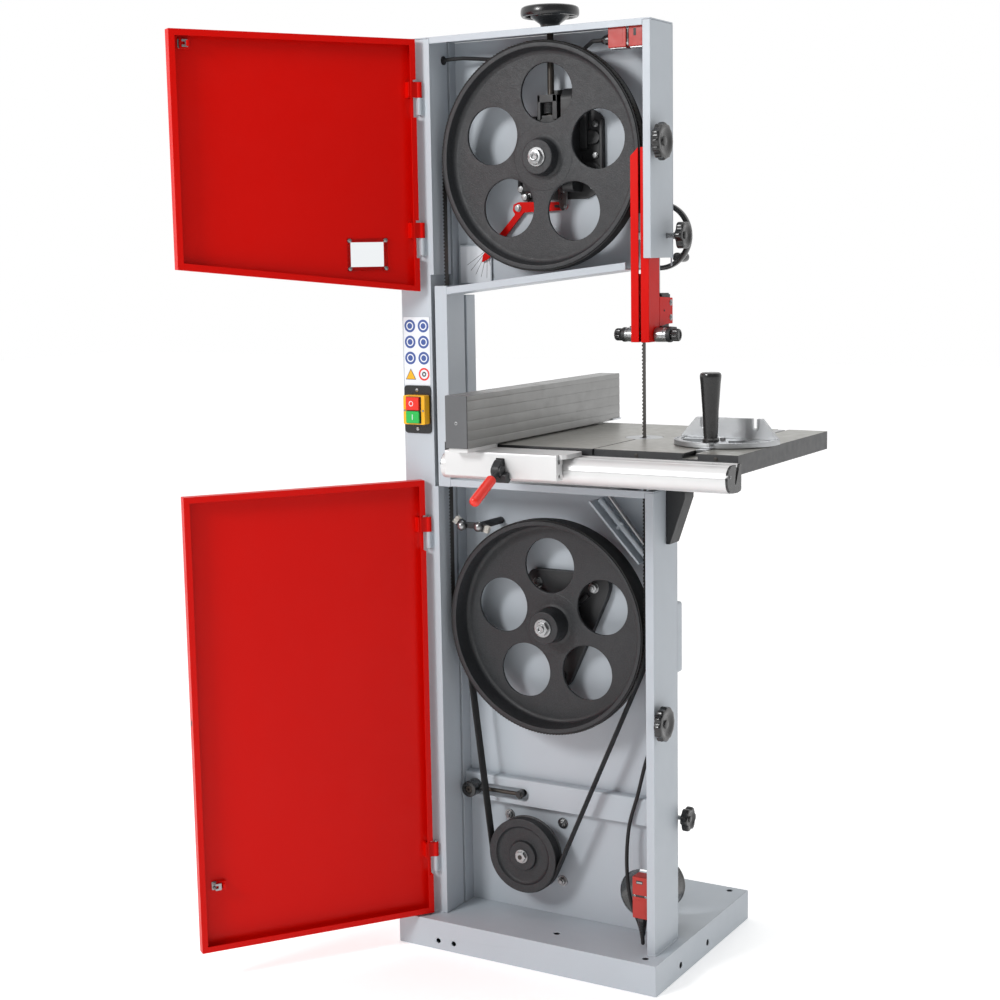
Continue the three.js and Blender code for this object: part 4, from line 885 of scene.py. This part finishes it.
made.prism(rounded([(FENCE_LEFT + 0.2, 1000.2), (FENCE_RIGHT - 0.2, 1000.2), (FENCE_RIGHT - 0.2, 1087.8),
                    (FENCE_LEFT + 0.2, 1087.8)], 1.2, 2), "y", -455, -452.2, PLATE_METAL, 0.6)
made.cross_screw("y", -455, FENCE_LEFT + 21, 1042, 3.0, -0.4)
made.box(FENCE_RIGHT - 6, FENCE_RIGHT + 4, 70, 104.6, 1000.4, 1003.4, WHITE, 0.8)
made.done("fence_end_plate", "fence")

made = Build()
body = [(-423, 951.6), (-421.6, 950), (-402.6, 950), (-401.2, 951.4), (-401.2, 958), (-403.4, 961),
        (-403.4, 974), (-401.2, 977), (-401.2, 985.6), (-399.6, 986), (-352.6, 986), (-352, 986.6),
        (-352, 992.4), (-352.6, 993), (-419.6, 993), (-422, 992.2), (-423, 990)]
made.prism(body, "x", -14, 200, ALUMINIUM, 0.25)
carriage = made.done("fence_carriage_profile", "fence", "aluminium", ["fence_carriage"])
tools = []
for a, b, radius in ((-413.5, 981.5, 4.4), (-413.5, 957.5, 3.4), (-372, 989.6, 2.0)):
    tool = Build()
    tool.rod("x", 150, 220, a, b, radius, BLACK_IRON, 0)
    tools.append(tool)
tool = Build()
tool.box(86, 103, -440, -406, 957, 984, BLACK_IRON, 1.2)
tools.append(tool)
drilled(carriage, tools)
made = Build()
made.prism(rounded([(200, -415), (206, -415), (212, -408), (212, -356), (208, -352), (200, -352)], 2), "z",
           985.6, 992.8, ALUMINIUM, 0.5)
made.prism(rounded([(FENCE_LEFT + 2.2, -449.6), (FENCE_RIGHT - 2.2, -449.6), (FENCE_RIGHT - 2.2, -352.4),
                    (FENCE_LEFT + 2.2, -352.4)], 2), "z", 993.1, 999.6, ALUMINIUM, 0.6)
made.done("fence_foot", "fence")

# Clamp lever: a black clamp through the carriage's window and a red grip.
made = Build()
made.prism(rounded([(-442, 953), (-424, 950), (-408, 962), (-408, 982), (-430, 982), (-443, 970)], 5, 3),
           "x", 87.4, 101.6, BLACK_IRON, 1.4)
made.prism(rounded([(-436, 945), (-426, 943), (-416, 951), (-424, 962), (-437, 958)], 2, 3), "x", 90, 112,
           BLACK_IRON, 1.2)
made.rod("x", 86, 105, -433, 964, 9, BLACK_IRON, 1.2)
start, tip = Vector((95, -452, 952.4)), Vector((92, -509, 918))
way = (tip - start).normalized()
path = [start + way * s for s in (0, 1.2, 3, 20, 48, 60)] + [tip - way * s for s in (3.4, 1.2, 0.1)]
made.tube(path, [7.6, 8.4, 8.6, 8.9, 9, 9, 7.8, 5, 0.5], RED_PLASTIC, 40)
made.tube([Vector((96, -436, 962)), start + way * 2], [5.2, 4.4], BLACK_IRON, 20)
made.done("clamp_lever", "fence_lever", "red_plastic", ["fence_lever"])

# Mitre gauge: half-disc with a raised rim, three bosses and plain division marks.
MITRE_X, MITRE_Y, FOOT = 401, -190, 998.3
made = Build()
half = arc(MITRE_X, MITRE_Y, 90, 180, 360, 64)
made.prism(half + [(MITRE_X + 90, MITRE_Y + 9), (MITRE_X + 88.6, MITRE_Y + 10),
                   (MITRE_X - 88.6, MITRE_Y + 10), (MITRE_X - 90, MITRE_Y + 9)], "z", FOOT, FOOT + 6.4,
           CAST_METAL, 0.8)
plate = made.done("mitre_half_disc", "mitre_head", "aluminium", ["mitre_head"])
tools = []
for first, last in ((196, 246), (294, 344)):
    tool = Build()
    window = arc(MITRE_X, MITRE_Y, 76, first, last, 16) + arc(MITRE_X, MITRE_Y, 32, last, first, 12)
    tool.prism(rounded(window, 3, 2), "z", FOOT + 1.6, FOOT + 20, CAST_METAL, 0)
    tools.append(tool)
drilled(plate, tools)
made = Build()
ring = arc(MITRE_X, MITRE_Y, 90, 180, 360, 64) + arc(MITRE_X, MITRE_Y, 78.5, 360, 180, 56)
made.prism(ring, "z", FOOT + 6.2, FOOT + 8, CAST_METAL, 0.4)
for angle in (196, 248, 302, 350):
    a, b = MITRE_X + 86 * math.cos(math.radians(angle)), MITRE_Y + 86 * math.sin(math.radians(angle))
    made.rod("z", FOOT + 0.4, FOOT + 9, a, b, 3.8, CAST_METAL, 1, 24)
for i in range(37):
    angle = math.radians(182 + i * 176 / 36)
    long = 6 if i % 6 == 0 else 3.6
    turn = turned(MITRE_X, 0, angle, "Z", MITRE_Y)
    made.box(88.6 - long, 88.6, -0.22, 0.22, FOOT + 7.9, FOOT + 8.12, BLACK_IRON, 0, turn)
shape = [(MITRE_X - 88, FOOT + 7), (MITRE_X - 88, FOOT + 9), (MITRE_X - 60, 1040), (MITRE_X - 50.8, 1040),
         (MITRE_X - 50.2, 1039.4), (MITRE_X - 50.2, 1025.7)]
shape += arc(MITRE_X - 46.5, 1025.7, 3.7, 180, 360, 8) + [(MITRE_X - 42.8, 1039.4), (MITRE_X - 42.2, 1040)]
shape += [(MITRE_X + 42.2, 1040), (MITRE_X + 42.8, 1039.4), (MITRE_X + 42.8, 1025.7)]
shape += arc(MITRE_X + 46.5, 1025.7, 3.7, 180, 360, 8)
shape += [(MITRE_X + 50.2, 1039.4), (MITRE_X + 50.8, 1040), (MITRE_X + 60, 1040), (MITRE_X + 88, FOOT + 9),
          (MITRE_X + 88, FOOT + 7)]
made.prism(shape, "y", MITRE_Y + 3.4, MITRE_Y + 10.4, CAST_METAL, 0.7)
for side in (-1, 1):
    middle = MITRE_X + side * 46.5
    rim = arc(middle, 1025.7, 7.4, 180, 360, 12) + [(middle + 7.4, 1039.8), (middle + 4.2, 1039.8)]
    rim += arc(middle, 1025.7, 4.2, 360, 180, 10) + [(middle - 4.2, 1039.8), (middle - 7.4, 1039.8)]
    made.prism(rim, "y", MITRE_Y + 1.2, MITRE_Y + 4, CAST_METAL, 0.5)
made.rod("z", FOOT + 2, FOOT + 12, MITRE_X, -218, 7, STEEL, 1)
made.done("mitre_face", "mitre_head")

made = Build()
made.prism(rounded([(406, -291), (412, -291), (413, -276), (405, -276)], 1.5), "z",
           FOOT + 4, FOOT + 9.6, CAST_METAL, 0.8)
made.done("mitre_pointer", "mitre_bar")

z = FOOT + 8.3
made = Build()
made.lathe([(0, z), (13, z), (13.4, z + 0.8), (13.4, z + 5), (12.2, z + 6), (11.4, z + 7), (11.8, z + 12),
            (13.4, z + 50), (16.6, z + 96), (17.7, z + 106), (17.8, z + 110), (16.8, z + 113),
            (14, z + 114.7), (0, z + 115)], "z", 401, -262, BLACK_PLASTIC, 72)
made.done("mitre_grip", "mitre_handle", "black_plastic", ["mitre_handle"])


# ------------------------------------------------------------------ door fittings
HINGE_X, HINGE_Y = -208, -179.5
UPPER_TURN, LOWER_TURN = (turned(HINGE_X, 0, math.radians(-opened), "Z", HINGE_Y) for opened in (122, 125.4))


def key_bracket(made, x, z, turn):
    """The actuating key of an interlock: a nickel foot with two screws and a forked tongue."""
    made.prism(rounded([(x, z), (x + 18, z), (x + 18, z + 16), (x, z + 16)], 2, 2), "y", -11.4, -9.2, STEEL,
               0.4, turn)
    made.box(x + 2, x + 5, -10, 1, z + 2, z + 14, STEEL, 0.7, turn)
    made.prism(rounded([(x + 3, z + 1.6), (x + 14, z + 1.6), (x + 14, z + 5.4), (x + 8, z + 5.4),
                        (x + 8, z + 10.6), (x + 14, z + 10.6), (x + 14, z + 14.4), (x + 3, z + 14.4)], 1,
                       2), "y", -1.2, 1.6, STEEL, 0.4, turn)
    for high in (3.6, 12.4):
        made.socket_screw("y", -9.3, x + 14, z + high, 2.6, 1, turn=turn, height=2.6)


made = Build()
for x in (69, 140):
    for z in (1295.6, 1346):
        made.lathe([(0, -12.2), (4, -12.2), (4, -8.6), (3.4, -7.6), (1.4, -7.2), (0, -7.2)], "y", x, z,
                   STEEL, 28, turn=UPPER_TURN)
key_bracket(made, 426, 1672, UPPER_TURN)
made.done("upper_door_fittings", "upper_door")
made = Build()
key_bracket(made, 420, 174, LOWER_TURN)
made.prism(rounded([(-7, 488), (0, 488), (0, 498), (-7, 498)], 2, 2), "x", 463.3, 464.15, BLACK_IRON, 0,
           LOWER_TURN)
made.done("lower_door_fittings", "lower_door")

# Hinge pins, seen between the knuckles, each with a short collar.
made = Build()
for z0 in (774, 143, 1569, 1317):
    made.rod("z", z0 - 1.2, z0 + 61, HINGE_X, HINGE_Y, 3, STEEL, 0.6, 24)
    made.rod("z", z0 + 28.4, z0 + 31.4, HINGE_X, HINGE_Y, 4.6, STEEL, 0.3, 24)
made.done("hinge_pins", "frame")

# Beads of paint-covered weld where sheets meet: post feet, spine foot and throat corners.
made = Build()


def bead(points, radius, seed):
    """A weld bead with an uneven surface along a path."""
    chance = random.Random(seed)
    path, sizes = [], []
    for (a, b) in zip(points, points[1:]):
        a, b = Vector(a), Vector(b)
        steps = max(2, int((b - a).length / 2.2))
        for i in range(steps):
            path.append(a + (b - a) * (i / steps))
            sizes.append(radius * (0.8 + 0.35 * chance.random()))
    path.append(Vector(points[-1]))
    sizes.append(radius * 0.5)
    sizes[0] = radius * 0.5
    made.tube(path, sizes, PAINT, 8)


bead([(238, -172.6, 58.4), (253.8, -172.6, 58.4), (254.2, -150, 58.4), (254.2, -78, 58.4)], 1.9, 3)
bead([(-260, -172.8, 58.4), (-197, -172.8, 58.4)], 1.7, 5)
bead([(-261.2, -172, 58.4), (-261.2, -76, 58.4)], 1.7, 7)
bead([(-161.6, -172.6, 1247.2), (-150, -172.6, 1248.6)], 1.4, 15)
made.done("weld_beads", "frame")

# ------------------------------------------------------------------ switch and its label plate
FACE = -172.7
made = Build()
made.prism(rounded([(-258, 989), (-200, 989), (-200, 1078), (-258, 1078)], 7, 4), "y", FACE - 3, FACE,
           BLACK_PLASTIC, 0.8)
made.prism(rounded([(-250, 1007), (-203, 1007), (-203, 1061), (-250, 1061)], 3, 3), "y", FACE - 19.4,
           FACE - 2, YELLOW, 1.6)
for z0, z1 in ((1033.5, 1058.5), (1009.5, 1032.5)):
    frame_outline = rounded([(-243.5, z0 - 0.4), (-210.5, z0 - 0.4), (-210.5, z1 + 0.4),
                             (-243.5, z1 + 0.4)], 1.5, 2)
    made.prism(frame_outline, "y", FACE - 20.4, FACE - 18, BLACK_PLASTIC, 0.5)
for x, z in ((-247, 1032.8), (-206.4, 1032.8)):
    made.lathe([(0, FACE - 19), (2, FACE - 19), (2, FACE - 20.4), (1.4, FACE - 21), (0, FACE - 21)], "y", x,
               z, STEEL, 20)
# Two slotted screws. Each slot is a thin black bar on the head, painted shade.
for x, z in ((-229, 997.5), (-229, 1069.5)):
    made.lathe([(0, FACE - 2.6), (3.4, FACE - 2.6), (3.4, FACE - 4), (2.2, FACE - 4.8), (0, FACE - 5)], "y",
               x, z, STEEL, 24)
    made.box(x - 2.4, x + 2.4, FACE - 5.1, FACE - 4.6, z - 0.4, z + 0.4, BLACK_IRON, 0)
made.prism(rounded([(-257.8, 1078.4), (-200.4, 1078.4), (-200.4, 1204.8), (-257.8, 1204.8)], 2, 2), "y",
           FACE - 0.7, FACE, WHITE, 0.2)
for z in (1188.4, 1158.8, 1129):
    for x in (-243.6, -214.2):
        made.lathe([(0, FACE - 0.6), (11.8, FACE - 0.6), (11.8, FACE - 0.85), (0, FACE - 0.85)], "y", x, z,
                   BLUE, 48)
        made.lathe([(5.4, FACE - 0.8), (7.6, FACE - 0.8), (7.6, FACE - 0.95), (5.4, FACE - 0.95)], "y", x,
                   z, WHITE, 40)
made.prism([(-255, 1089), (-232, 1089), (-243.5, 1109.6)], "y", FACE - 0.85, FACE - 0.6, BLACK_IRON, 0)
made.prism([(-253, 1090.2), (-234, 1090.2), (-243.5, 1107.4)], "y", FACE - 0.95, FACE - 0.8, YELLOW, 0)
made.lathe([(8.6, FACE - 0.6), (11.8, FACE - 0.6), (11.8, FACE - 0.9), (8.6, FACE - 0.9)], "y", -214.2,
           1099.2, RED_PLASTIC, 48)
made.lathe([(2.2, FACE - 0.6), (4.6, FACE - 0.6), (4.6, FACE - 0.85), (2.2, FACE - 0.85)], "y", -214.2,
           1099.2, BLACK_IRON, 32)
made.done("switch_station", "frame", "yellow_plastic", ["switch_box"])

CAPS = (("stop_cap", "stop_button", 1034, 1058, RED_PLASTIC, "red_plastic"),
        ("start_cap", "start_button", 1010, 1032, GREEN, "green_plastic"))
for name, node, z0, z1, material, slot in CAPS:
    made = Build()
    made.prism(rounded([(-241, z0), (-213, z0), (-213, z1), (-241, z1)], 1.6, 3), "y", FACE - 24.6,
               FACE - 18.2, material, 1.3)
    middle = (z0 + z1) / 2
    if node == "stop_button":
        made.lathe([(3.6, FACE - 24.5), (4.8, FACE - 24.5), (4.8, FACE - 24.8), (3.6, FACE - 24.8)], "y",
                   -229.4, middle, WHITE, 32)
    else:
        made.box(-227.7, -226.3, FACE - 24.8, FACE - 24.4, middle - 5, middle + 5, WHITE, 0)
    made.done(name, node, slot, [node])


# ------------------------------------------------------------------ interlocks and cables
def smooth_path(points, steps=8):
    """A curve through the points."""
    path = [Vector(p) for p in points]
    path = [path[0] * 2 - path[1]] + path + [path[-1] * 2 - path[-2]]
    made = []
    for i in range(1, len(path) - 2):
        p0, p1, p2, p3 = path[i - 1:i + 3]
        for k in range(steps):
            t = k / steps
            made.append(0.5 * (2 * p1 + (p2 - p0) * t + (2 * p0 - 5 * p1 + 4 * p2 - p3) * t ** 2
                               + (3 * p1 - p0 - 3 * p2 + p3) * t ** 3))
    return made + [path[-2]]


CABLES = (
    ("upper_interlock_cable", "upper_cable",
     [(-188.4, -125, 1669), (-176, -125, 1670), (-150, -118, 1671), (-110, -105, 1668), (-60, -96, 1664),
      (-8, -94, 1660), (40, -95, 1662), (80, -102, 1668), (110, -125, 1675), (130, -147, 1678),
      (140, -149, 1678), (149.6, -149, 1678)]),
    ("lower_interlock_cable", "lower_cable",
     [(243, -100, 470), (222, -100, 440), (204, -101, 399), (186.5, -103, 330), (170, -104, 272),
      (166, -108, 215), (170, -112, 162), (181, -118, 123), (199, -124, 91), (212, -138, 71),
      (218, -149, 68), (219, -152, 74), (219, -152, 83.6)]),
)
for name, node, points in CABLES:
    made = Build()
    made.tube(smooth_path(points), 3.45, RUBBER, 16)
    made.done(name, "frame", "rubber", [node])

made = Build()
made.box(168, 202, -164, -134.4, 1662.4, 1699.6, BRICK, 1.6)
made.box(202.4, 206.6, -162, -136, 1664, 1698, BLACK_PLASTIC, 1)
made.box(206.8, 233, -163.4, -134.6, 1662.8, 1699.2, BRICK, 1.6)
for z in (1668, 1694):
    made.cross_screw("y", -162, 204.5, z, 2.8, -1)
made.box(203.2, 205.8, -162.6, -161, 1676, 1686, BLACK_IRON, 0.3)
made.box(216, 221, -163.7, -163, 1680, 1692, BLACK_IRON, 0.3)
made.box(173, 196, -164.25, -163.9, 1668, 1694, BRICK, 0.1)
for x0, x1 in ((208, 231), (170, 200)):
    made.box(x0, x1, -160, -139, 1660.6, 1662.6, STEEL, 0.5)
made.rod("x", 158, 168.2, -149, 1678, 9, BLACK_PLASTIC, 1.2)
made.nut("x", 165, 156, -149, 1678, 15.5, BLACK_PLASTIC)
made.lathe([(3.6, 150.2), (5, 150.2), (6.4, 152), (7.4, 155), (7.6, 158), (3.6, 158)], "x", -149, 1678,
           BLACK_PLASTIC, 36)
made.done("upper_interlock_switch", "frame", "brick_plastic", ["upper_interlock"])

made = Build()
made.box(205.4, 235.6, -165.6, -138.4, 164.6, 198.6, BRICK, 1.6)
made.box(206.6, 234.4, -164.4, -139.6, 160.6, 165, BLACK_PLASTIC, 0.8)
made.box(205.4, 235.6, -165.6, -138.4, 120.6, 161, BRICK, 1.6)
made.box(213, 226, -165.95, -165, 186, 192, BLACK_IRON, 0.3)
made.box(214, 225, -166, -165.7, 187, 190, STEEL, 0.1)
for x in (209.4, 231.6):
    made.cross_screw("y", -164.4, x, 162.8, 2.4, -1)
made.box(210, 231, -165.9, -165.5, 126, 155, BRICK, 0.1)
made.nut("z", 120.8, 113.5, 219, -152, 17, BLACK_PLASTIC)
profile = [(3.6, 84.2), (4.6, 84.2)]
for i in range(8):
    profile += [(5.0 + i * 0.42, 86 + i * 3.3), (5.5 + i * 0.42, 87 + i * 3.3),
                (5.0 + i * 0.44, 88.4 + i * 3.3)]
profile += [(8.6, 113), (8.8, 116), (3.6, 116)]
made.lathe(profile, "z", 219, -152, BLACK_PLASTIC, 40)
made.done("lower_interlock_switch", "frame", "brick_plastic", ["lower_interlock"])


# ------------------------------------------------------------------ brushes, belt lever, crossbar
made = Build()
Y = -150
made.rod("y", Y, -76.6, -111, 818.5, 7, BLACK_IRON, 1.2)
made.box(-150, -112, Y - 4, Y + 5, 812, 823, BLACK_IRON, 2)
for x, z, dx, dz in ((-149, 817, -15.5, 11), (-112, 817, 16, -5)):
    made.lathe([(0, Y - 2), (9.4, Y - 2), (9.4, Y - 9.4), (8.2, Y - 10), (0, Y - 10)], "y", x, z,
               BLACK_PLASTIC, 36)
    made.lathe([(0, Y - 9.6), (7.4, Y - 9.6), (7.6, Y - 10.6), (6.8, Y - 12.6), (4.8, Y - 14.2),
                (2.4, Y - 14.9), (0, Y - 15)], "y", x, z, STEEL, 36)
    way = Vector((dx, 0, dz)).normalized()
    side = Vector((-way.z, 0, way.x))
    root = Vector((x, Y - 1, z))
    corners = [root + way * a + side * b for a, b in ((2, -8), (11, -7), (11, 7), (2, 8))]
    made.prism([(c.x, c.z) for c in corners], "y", Y - 7, Y + 5, BLACK_PLASTIC, 1)
    chance = random.Random(int(x))
    for i in range(7):
        for k in range(4):
            foot = root + way * 10.6 + side * (i - 3) * 1.9 + Vector((0, -4.4 + k * 2.9, 0))
            lean = way * (9 + chance.random() * 1.6) + side * (chance.random() - 0.5) * 1.6
            made.tube([foot, foot + lean], 0.62, BRISTLE, 6)
made.done("wheel_brushes", "frame", "black_plastic", ["brush_bracket"])

made = Build()
y, z = -103, 295
made.lathe([(0, -96.5), (15, -96.5), (16, -97.5), (16, -121), (15, -123.4), (12.4, -124), (8.2, -124),
            (7.8, -123.4), (7.8, -118), (0, -118)], "y", -166, z, BLACK_PLASTIC, 64)
made.lathe([(0, -117), (7.2, -117), (7.2, -121.4), (6.4, -122.4), (3.8, -122.4), (3.4, -122), (3.4, -119),
            (0, -119)], "y", -166, z, DARK_STEEL, 36, hexagon_within(4))
made.rod("x", -152, -66, y, z, 4, DARK_STEEL, 0.5, 32)
made.rod("x", -154, -140, y, z, 5.6, BLACK_PLASTIC, 1, 32)
made.lathe([(0, -110), (6.6, -110), (8, -108.6), (8, -93), (7.4, -92.2), (0, -92.2)], "y", -62, z,
           BLACK_PLASTIC, 48)
made.nut("y", -109.6, -112, -62, z, 9, BLACK_IRON)
made.done("belt_tension_lever", "belt_lever", "black_plastic", ["belt_lever"])

# The crossbar: a folded channel with a long slot, round at its right end, for the belt lever.
low, high = box_of("crossbar")
front, back, foot, top = low.y, high.y, low.z, high.z
section = [(front, foot), (front, top - 5), (front + 0.8, top - 2.2), (front + 2.4, top - 0.7),
           (front + 5, top), (back, top), (back, top - 2.5), (front + 5, top - 2.5),
           (front + 3.4, top - 3.4), (front + 2.5, top - 5), (front + 2.5, foot)]
made = Build()
made.prism(section, "x", low.x, high.x, PAINT, 0.25)
channel = made.done("crossbar_channel", "frame", "frame_paint", ["crossbar"])
tool = Build()
slot = [(-166, 303.6), (-166, 280)] + arc(-59.8, 291.8, 11.8, -90, 90, 15)
tool.prism(slot, "y", front - 2, front + 4, PAINT, 0)
drilled(channel, [tool])

# Bolts of the motor's slide plate, on large washers.
made = Build()
for x, z in ((-101.5, 242), (15.4, 242), (12.8, 127), (-101.5, 127)):
    made.lathe([(3, -76.4), (10.4, -76.4), (10.6, -77.4), (10.2, -78), (3, -78)], "y", x, z, STEEL, 40)
    made.nut("y", -78, -83.4, x, z, 12.6, STEEL)
    made.lathe([(0, -83.2), (4.4, -83.2), (4.4, -85.6), (3.6, -86.4), (0, -86.5)], "y", x, z, STEEL, 24)
made.done("motor_bolts", "frame")

# The polished stay beside the diagonal deflector.
made = Build()
made.tube([(134, -112, 889), (170, -112, 845), (214, -112, 792)], 4.4, STEEL, 24)
made.tube([(126, -112, 893), (136, -112, 886.5)], 5.4, BLACK_IRON, 20)
made.done("deflector_stay", "frame")


# ------------------------------------------------------------------ rear: motor, dust port, cover
made = Build()
made.lathe([(0, -60), (70, -60), (72, -58), (72, 88), (74, 90), (78, 92), (78, 120), (76.6, 126), (73, 130.6),
            (68, 132.6), (64, 133), (62, 131), (61.4, 128.6), (0, 128.6)], "y", MOTOR_X, MOTOR_Z, PAINT, 96)
for i in range(30):
    angle = math.tau * i / 30
    if 60 < math.degrees(angle) < 120:
        continue
    turn = turned(MOTOR_X, MOTOR_Z, -angle)
    made.box(70, 77, -50, 82, -1.1, 1.1, PAINT, 0.6, turn)
for ring in (14, 25, 36, 47, 58):
    made.lathe([(ring - 1.6, 127.6), (ring + 1.6, 127.6), (ring + 1.6, 131.4), (ring - 1.6, 131.4)], "y",
               MOTOR_X, MOTOR_Z, BLACK_PLASTIC, 64)
for i in range(6):
    turn = turned(MOTOR_X, MOTOR_Z, math.tau * i / 6)
    made.box(6, 62, 127.8, 130.8, -1.6, 1.6, BLACK_PLASTIC, 0.5, turn)
made.prism(rounded([(MOTOR_X - 72, MOTOR_Z - 72), (MOTOR_X + 72, MOTOR_Z - 72),
                    (MOTOR_X + 72, MOTOR_Z + 72), (MOTOR_X - 72, MOTOR_Z + 72)], 10, 4), "y", -73.2, -58,
           PAINT, 1.4)
for a in (-60, 60):
    for b in (-60, 60):
        made.rod("y", -58.4, -53, MOTOR_X + a, MOTOR_Z + b, 6.4, STEEL, 0.6)
        made.nut("y", -53.2, -46, MOTOR_X + a, MOTOR_Z + b, 11, STEEL)
made.prism(rounded([(MOTOR_X - 30, MOTOR_Z + 60), (MOTOR_X + 30, MOTOR_Z + 60),
                    (MOTOR_X + 30, MOTOR_Z + 106), (MOTOR_X - 30, MOTOR_Z + 106)], 4, 3), "y", -22, 58,
           BLACK_PLASTIC, 1.6)
made.prism(rounded([(MOTOR_X - 29.9, MOTOR_Z + 106), (MOTOR_X + 29.9, MOTOR_Z + 106),
                    (MOTOR_X + 29.9, MOTOR_Z + 112), (MOTOR_X - 29.9, MOTOR_Z + 112)], 2, 2), "y", -21.8,
           57.8, BLACK_PLASTIC, 1.4)
for a in (-24, 24):
    for b in (-14, 50):
        made.cross_screw("z", MOTOR_Z + 111.4, MOTOR_X + a, b, 3, 0.2)
made.rod("y", -113, -60, MOTOR_X, MOTOR_Z, 12, DARK_STEEL, 0.5)
made.done("finned_motor", "frame", "frame_paint", ["motor"])

DUST_X, DUST_Z = 184, 130.5
made = Build()
made.lathe([(47.5, -73.2), (50, -73.2), (50, -6), (51, -4), (51, -1), (50, 1.6), (48.6, 3), (47.5, 2),
            (47.5, -4)], "y", DUST_X, DUST_Z, BLACK_PLASTIC, 96)
outline = rounded([(DUST_X + a, DUST_Z + b) for a, b in ((-60, -60), (60, -60), (60, 60), (-60, 60))], 10, 4)
plate = Build()
plate.prism(outline, "y", -73.2, -70.2, BLACK_PLASTIC, 0.7)
flange = plate.done("dust_flange", "frame")
tool = Build()
tool.rod("y", -90, -50, DUST_X, DUST_Z, 48, BLACK_PLASTIC, 0, 96)
drilled(flange, [tool])
for a in (-50, 50):
    for b in (-50, 50):
        made.cross_screw("y", -70.2, DUST_X + a, DUST_Z + b, 4, 1)
made.done("dust_port_ring", "frame", "black_plastic", ["dust_port"])

low, high = box_of("rear_cover")
made = Build()
made.prism(rounded([(low.x, low.z), (high.x, low.z), (high.x, high.z), (low.x, high.z)], 5, 3), "y", low.y,
           high.y, PAINT, 1.6)
for x in (low.x + 10, high.x - 10):
    for z in (low.z + 12, high.z - 12):
        made.cross_screw("y", high.y - 0.1, x, z, 3.6, 0.6)
made.done("rear_cover_box", "frame", "frame_paint", ["rear_cover"])

# The rubber grommet where the upper cable comes through.
made = Build()
made.lathe([(3.6, -190.2), (7.4, -190.2), (8, -189.4), (8, -187.2), (7, -186.4), (3.6, -186.4)], "x", -125,
           1669, RUBBER, 32)
made.done("grommets", "frame")


# ------------------------------------------------------------------ stage, in metres
LIGHTS = (("key", (-1.3, -3.6, 2.7), 0.9, 84), ("fill", (2.9, -2.0, 1.6), 2.2, 0.8),
          ("top", (0.3, -0.8, 3.8), 2.0, 16))
CAMERA_PLACE = (1.5497, -2.8814, 1.3197)
AZIMUTH, ELEVATION, ROLL = 30.652, 8.081, -0.957
LENS = 62.61


def studio():
    part = bmesh.new()
    bmesh.ops.create_grid(part, x_segments=2, y_segments=2, size=16)
    mesh = bpy.data.meshes.new("floor")
    part.to_mesh(mesh)
    part.free()
    floor = bpy.data.objects.new("floor", mesh)
    floor.location.z = -0.0005
    floor.data.materials.append(FLOOR)
    SCENE.collection.objects.link(floor)
    world = bpy.data.worlds.new("studio")
    world.use_nodes = True
    tree = world.node_tree
    heading = tree.nodes.new("ShaderNodeTexCoord").outputs["Generated"]
    forward = tree.nodes.new("ShaderNodeVectorMath")
    forward.operation = "DOT_PRODUCT"
    tree.links.new(heading, forward.inputs[0])
    forward.inputs[1].default_value = (0.6, -0.8, 0)
    fall = tree.nodes.new("ShaderNodeMapRange")
    tree.links.new(forward.outputs["Value"], fall.inputs["Value"])
    for name, value in (("From Min", -0.2), ("From Max", 0.6), ("To Min", 1.0), ("To Max", 0.3)):
        fall.inputs[name].default_value = value
    tree.links.new(fall.outputs["Result"], tree.nodes["Background"].inputs["Strength"])
    tree.nodes["Background"].inputs["Color"].default_value = (1, 1, 1, 1)
    SCENE.world = world
    for name, place, size, power in LIGHTS:
        data = bpy.data.lights.new(name, "AREA")
        data.size = size
        data.energy = power
        lamp = bpy.data.objects.new(name, data)
        lamp.location = place
        lamp.rotation_euler = (Vector((0, 0, 0.9)) - Vector(place)).to_track_quat("-Z", "Y").to_euler()
        SCENE.collection.objects.link(lamp)


def camera():
    azimuth, elevation, roll = (math.radians(a) for a in (AZIMUTH, ELEVATION, ROLL))
    forward = Vector((-math.sin(azimuth) * math.cos(elevation), math.cos(azimuth) * math.cos(elevation),
                      -math.sin(elevation)))
    right = forward.cross(Vector((0, 0, 1))).normalized()
    up = right.cross(forward)
    turned_right = math.cos(roll) * right + math.sin(roll) * up
    turned_up = math.cos(roll) * up - math.sin(roll) * right
    data = bpy.data.cameras.new("camera")
    data.sensor_width = 36
    data.lens = LENS
    data.clip_start, data.clip_end = 0.05, 60
    eye = bpy.data.objects.new("camera", data)
    axes = Matrix((turned_right, turned_up, -forward)).transposed()
    eye.matrix_world = Matrix.Translation(CAMERA_PLACE) @ axes.to_4x4()
    SCENE.collection.objects.link(eye)
    SCENE.camera = eye


studio()
camera()
bpy.context.view_layer.update()
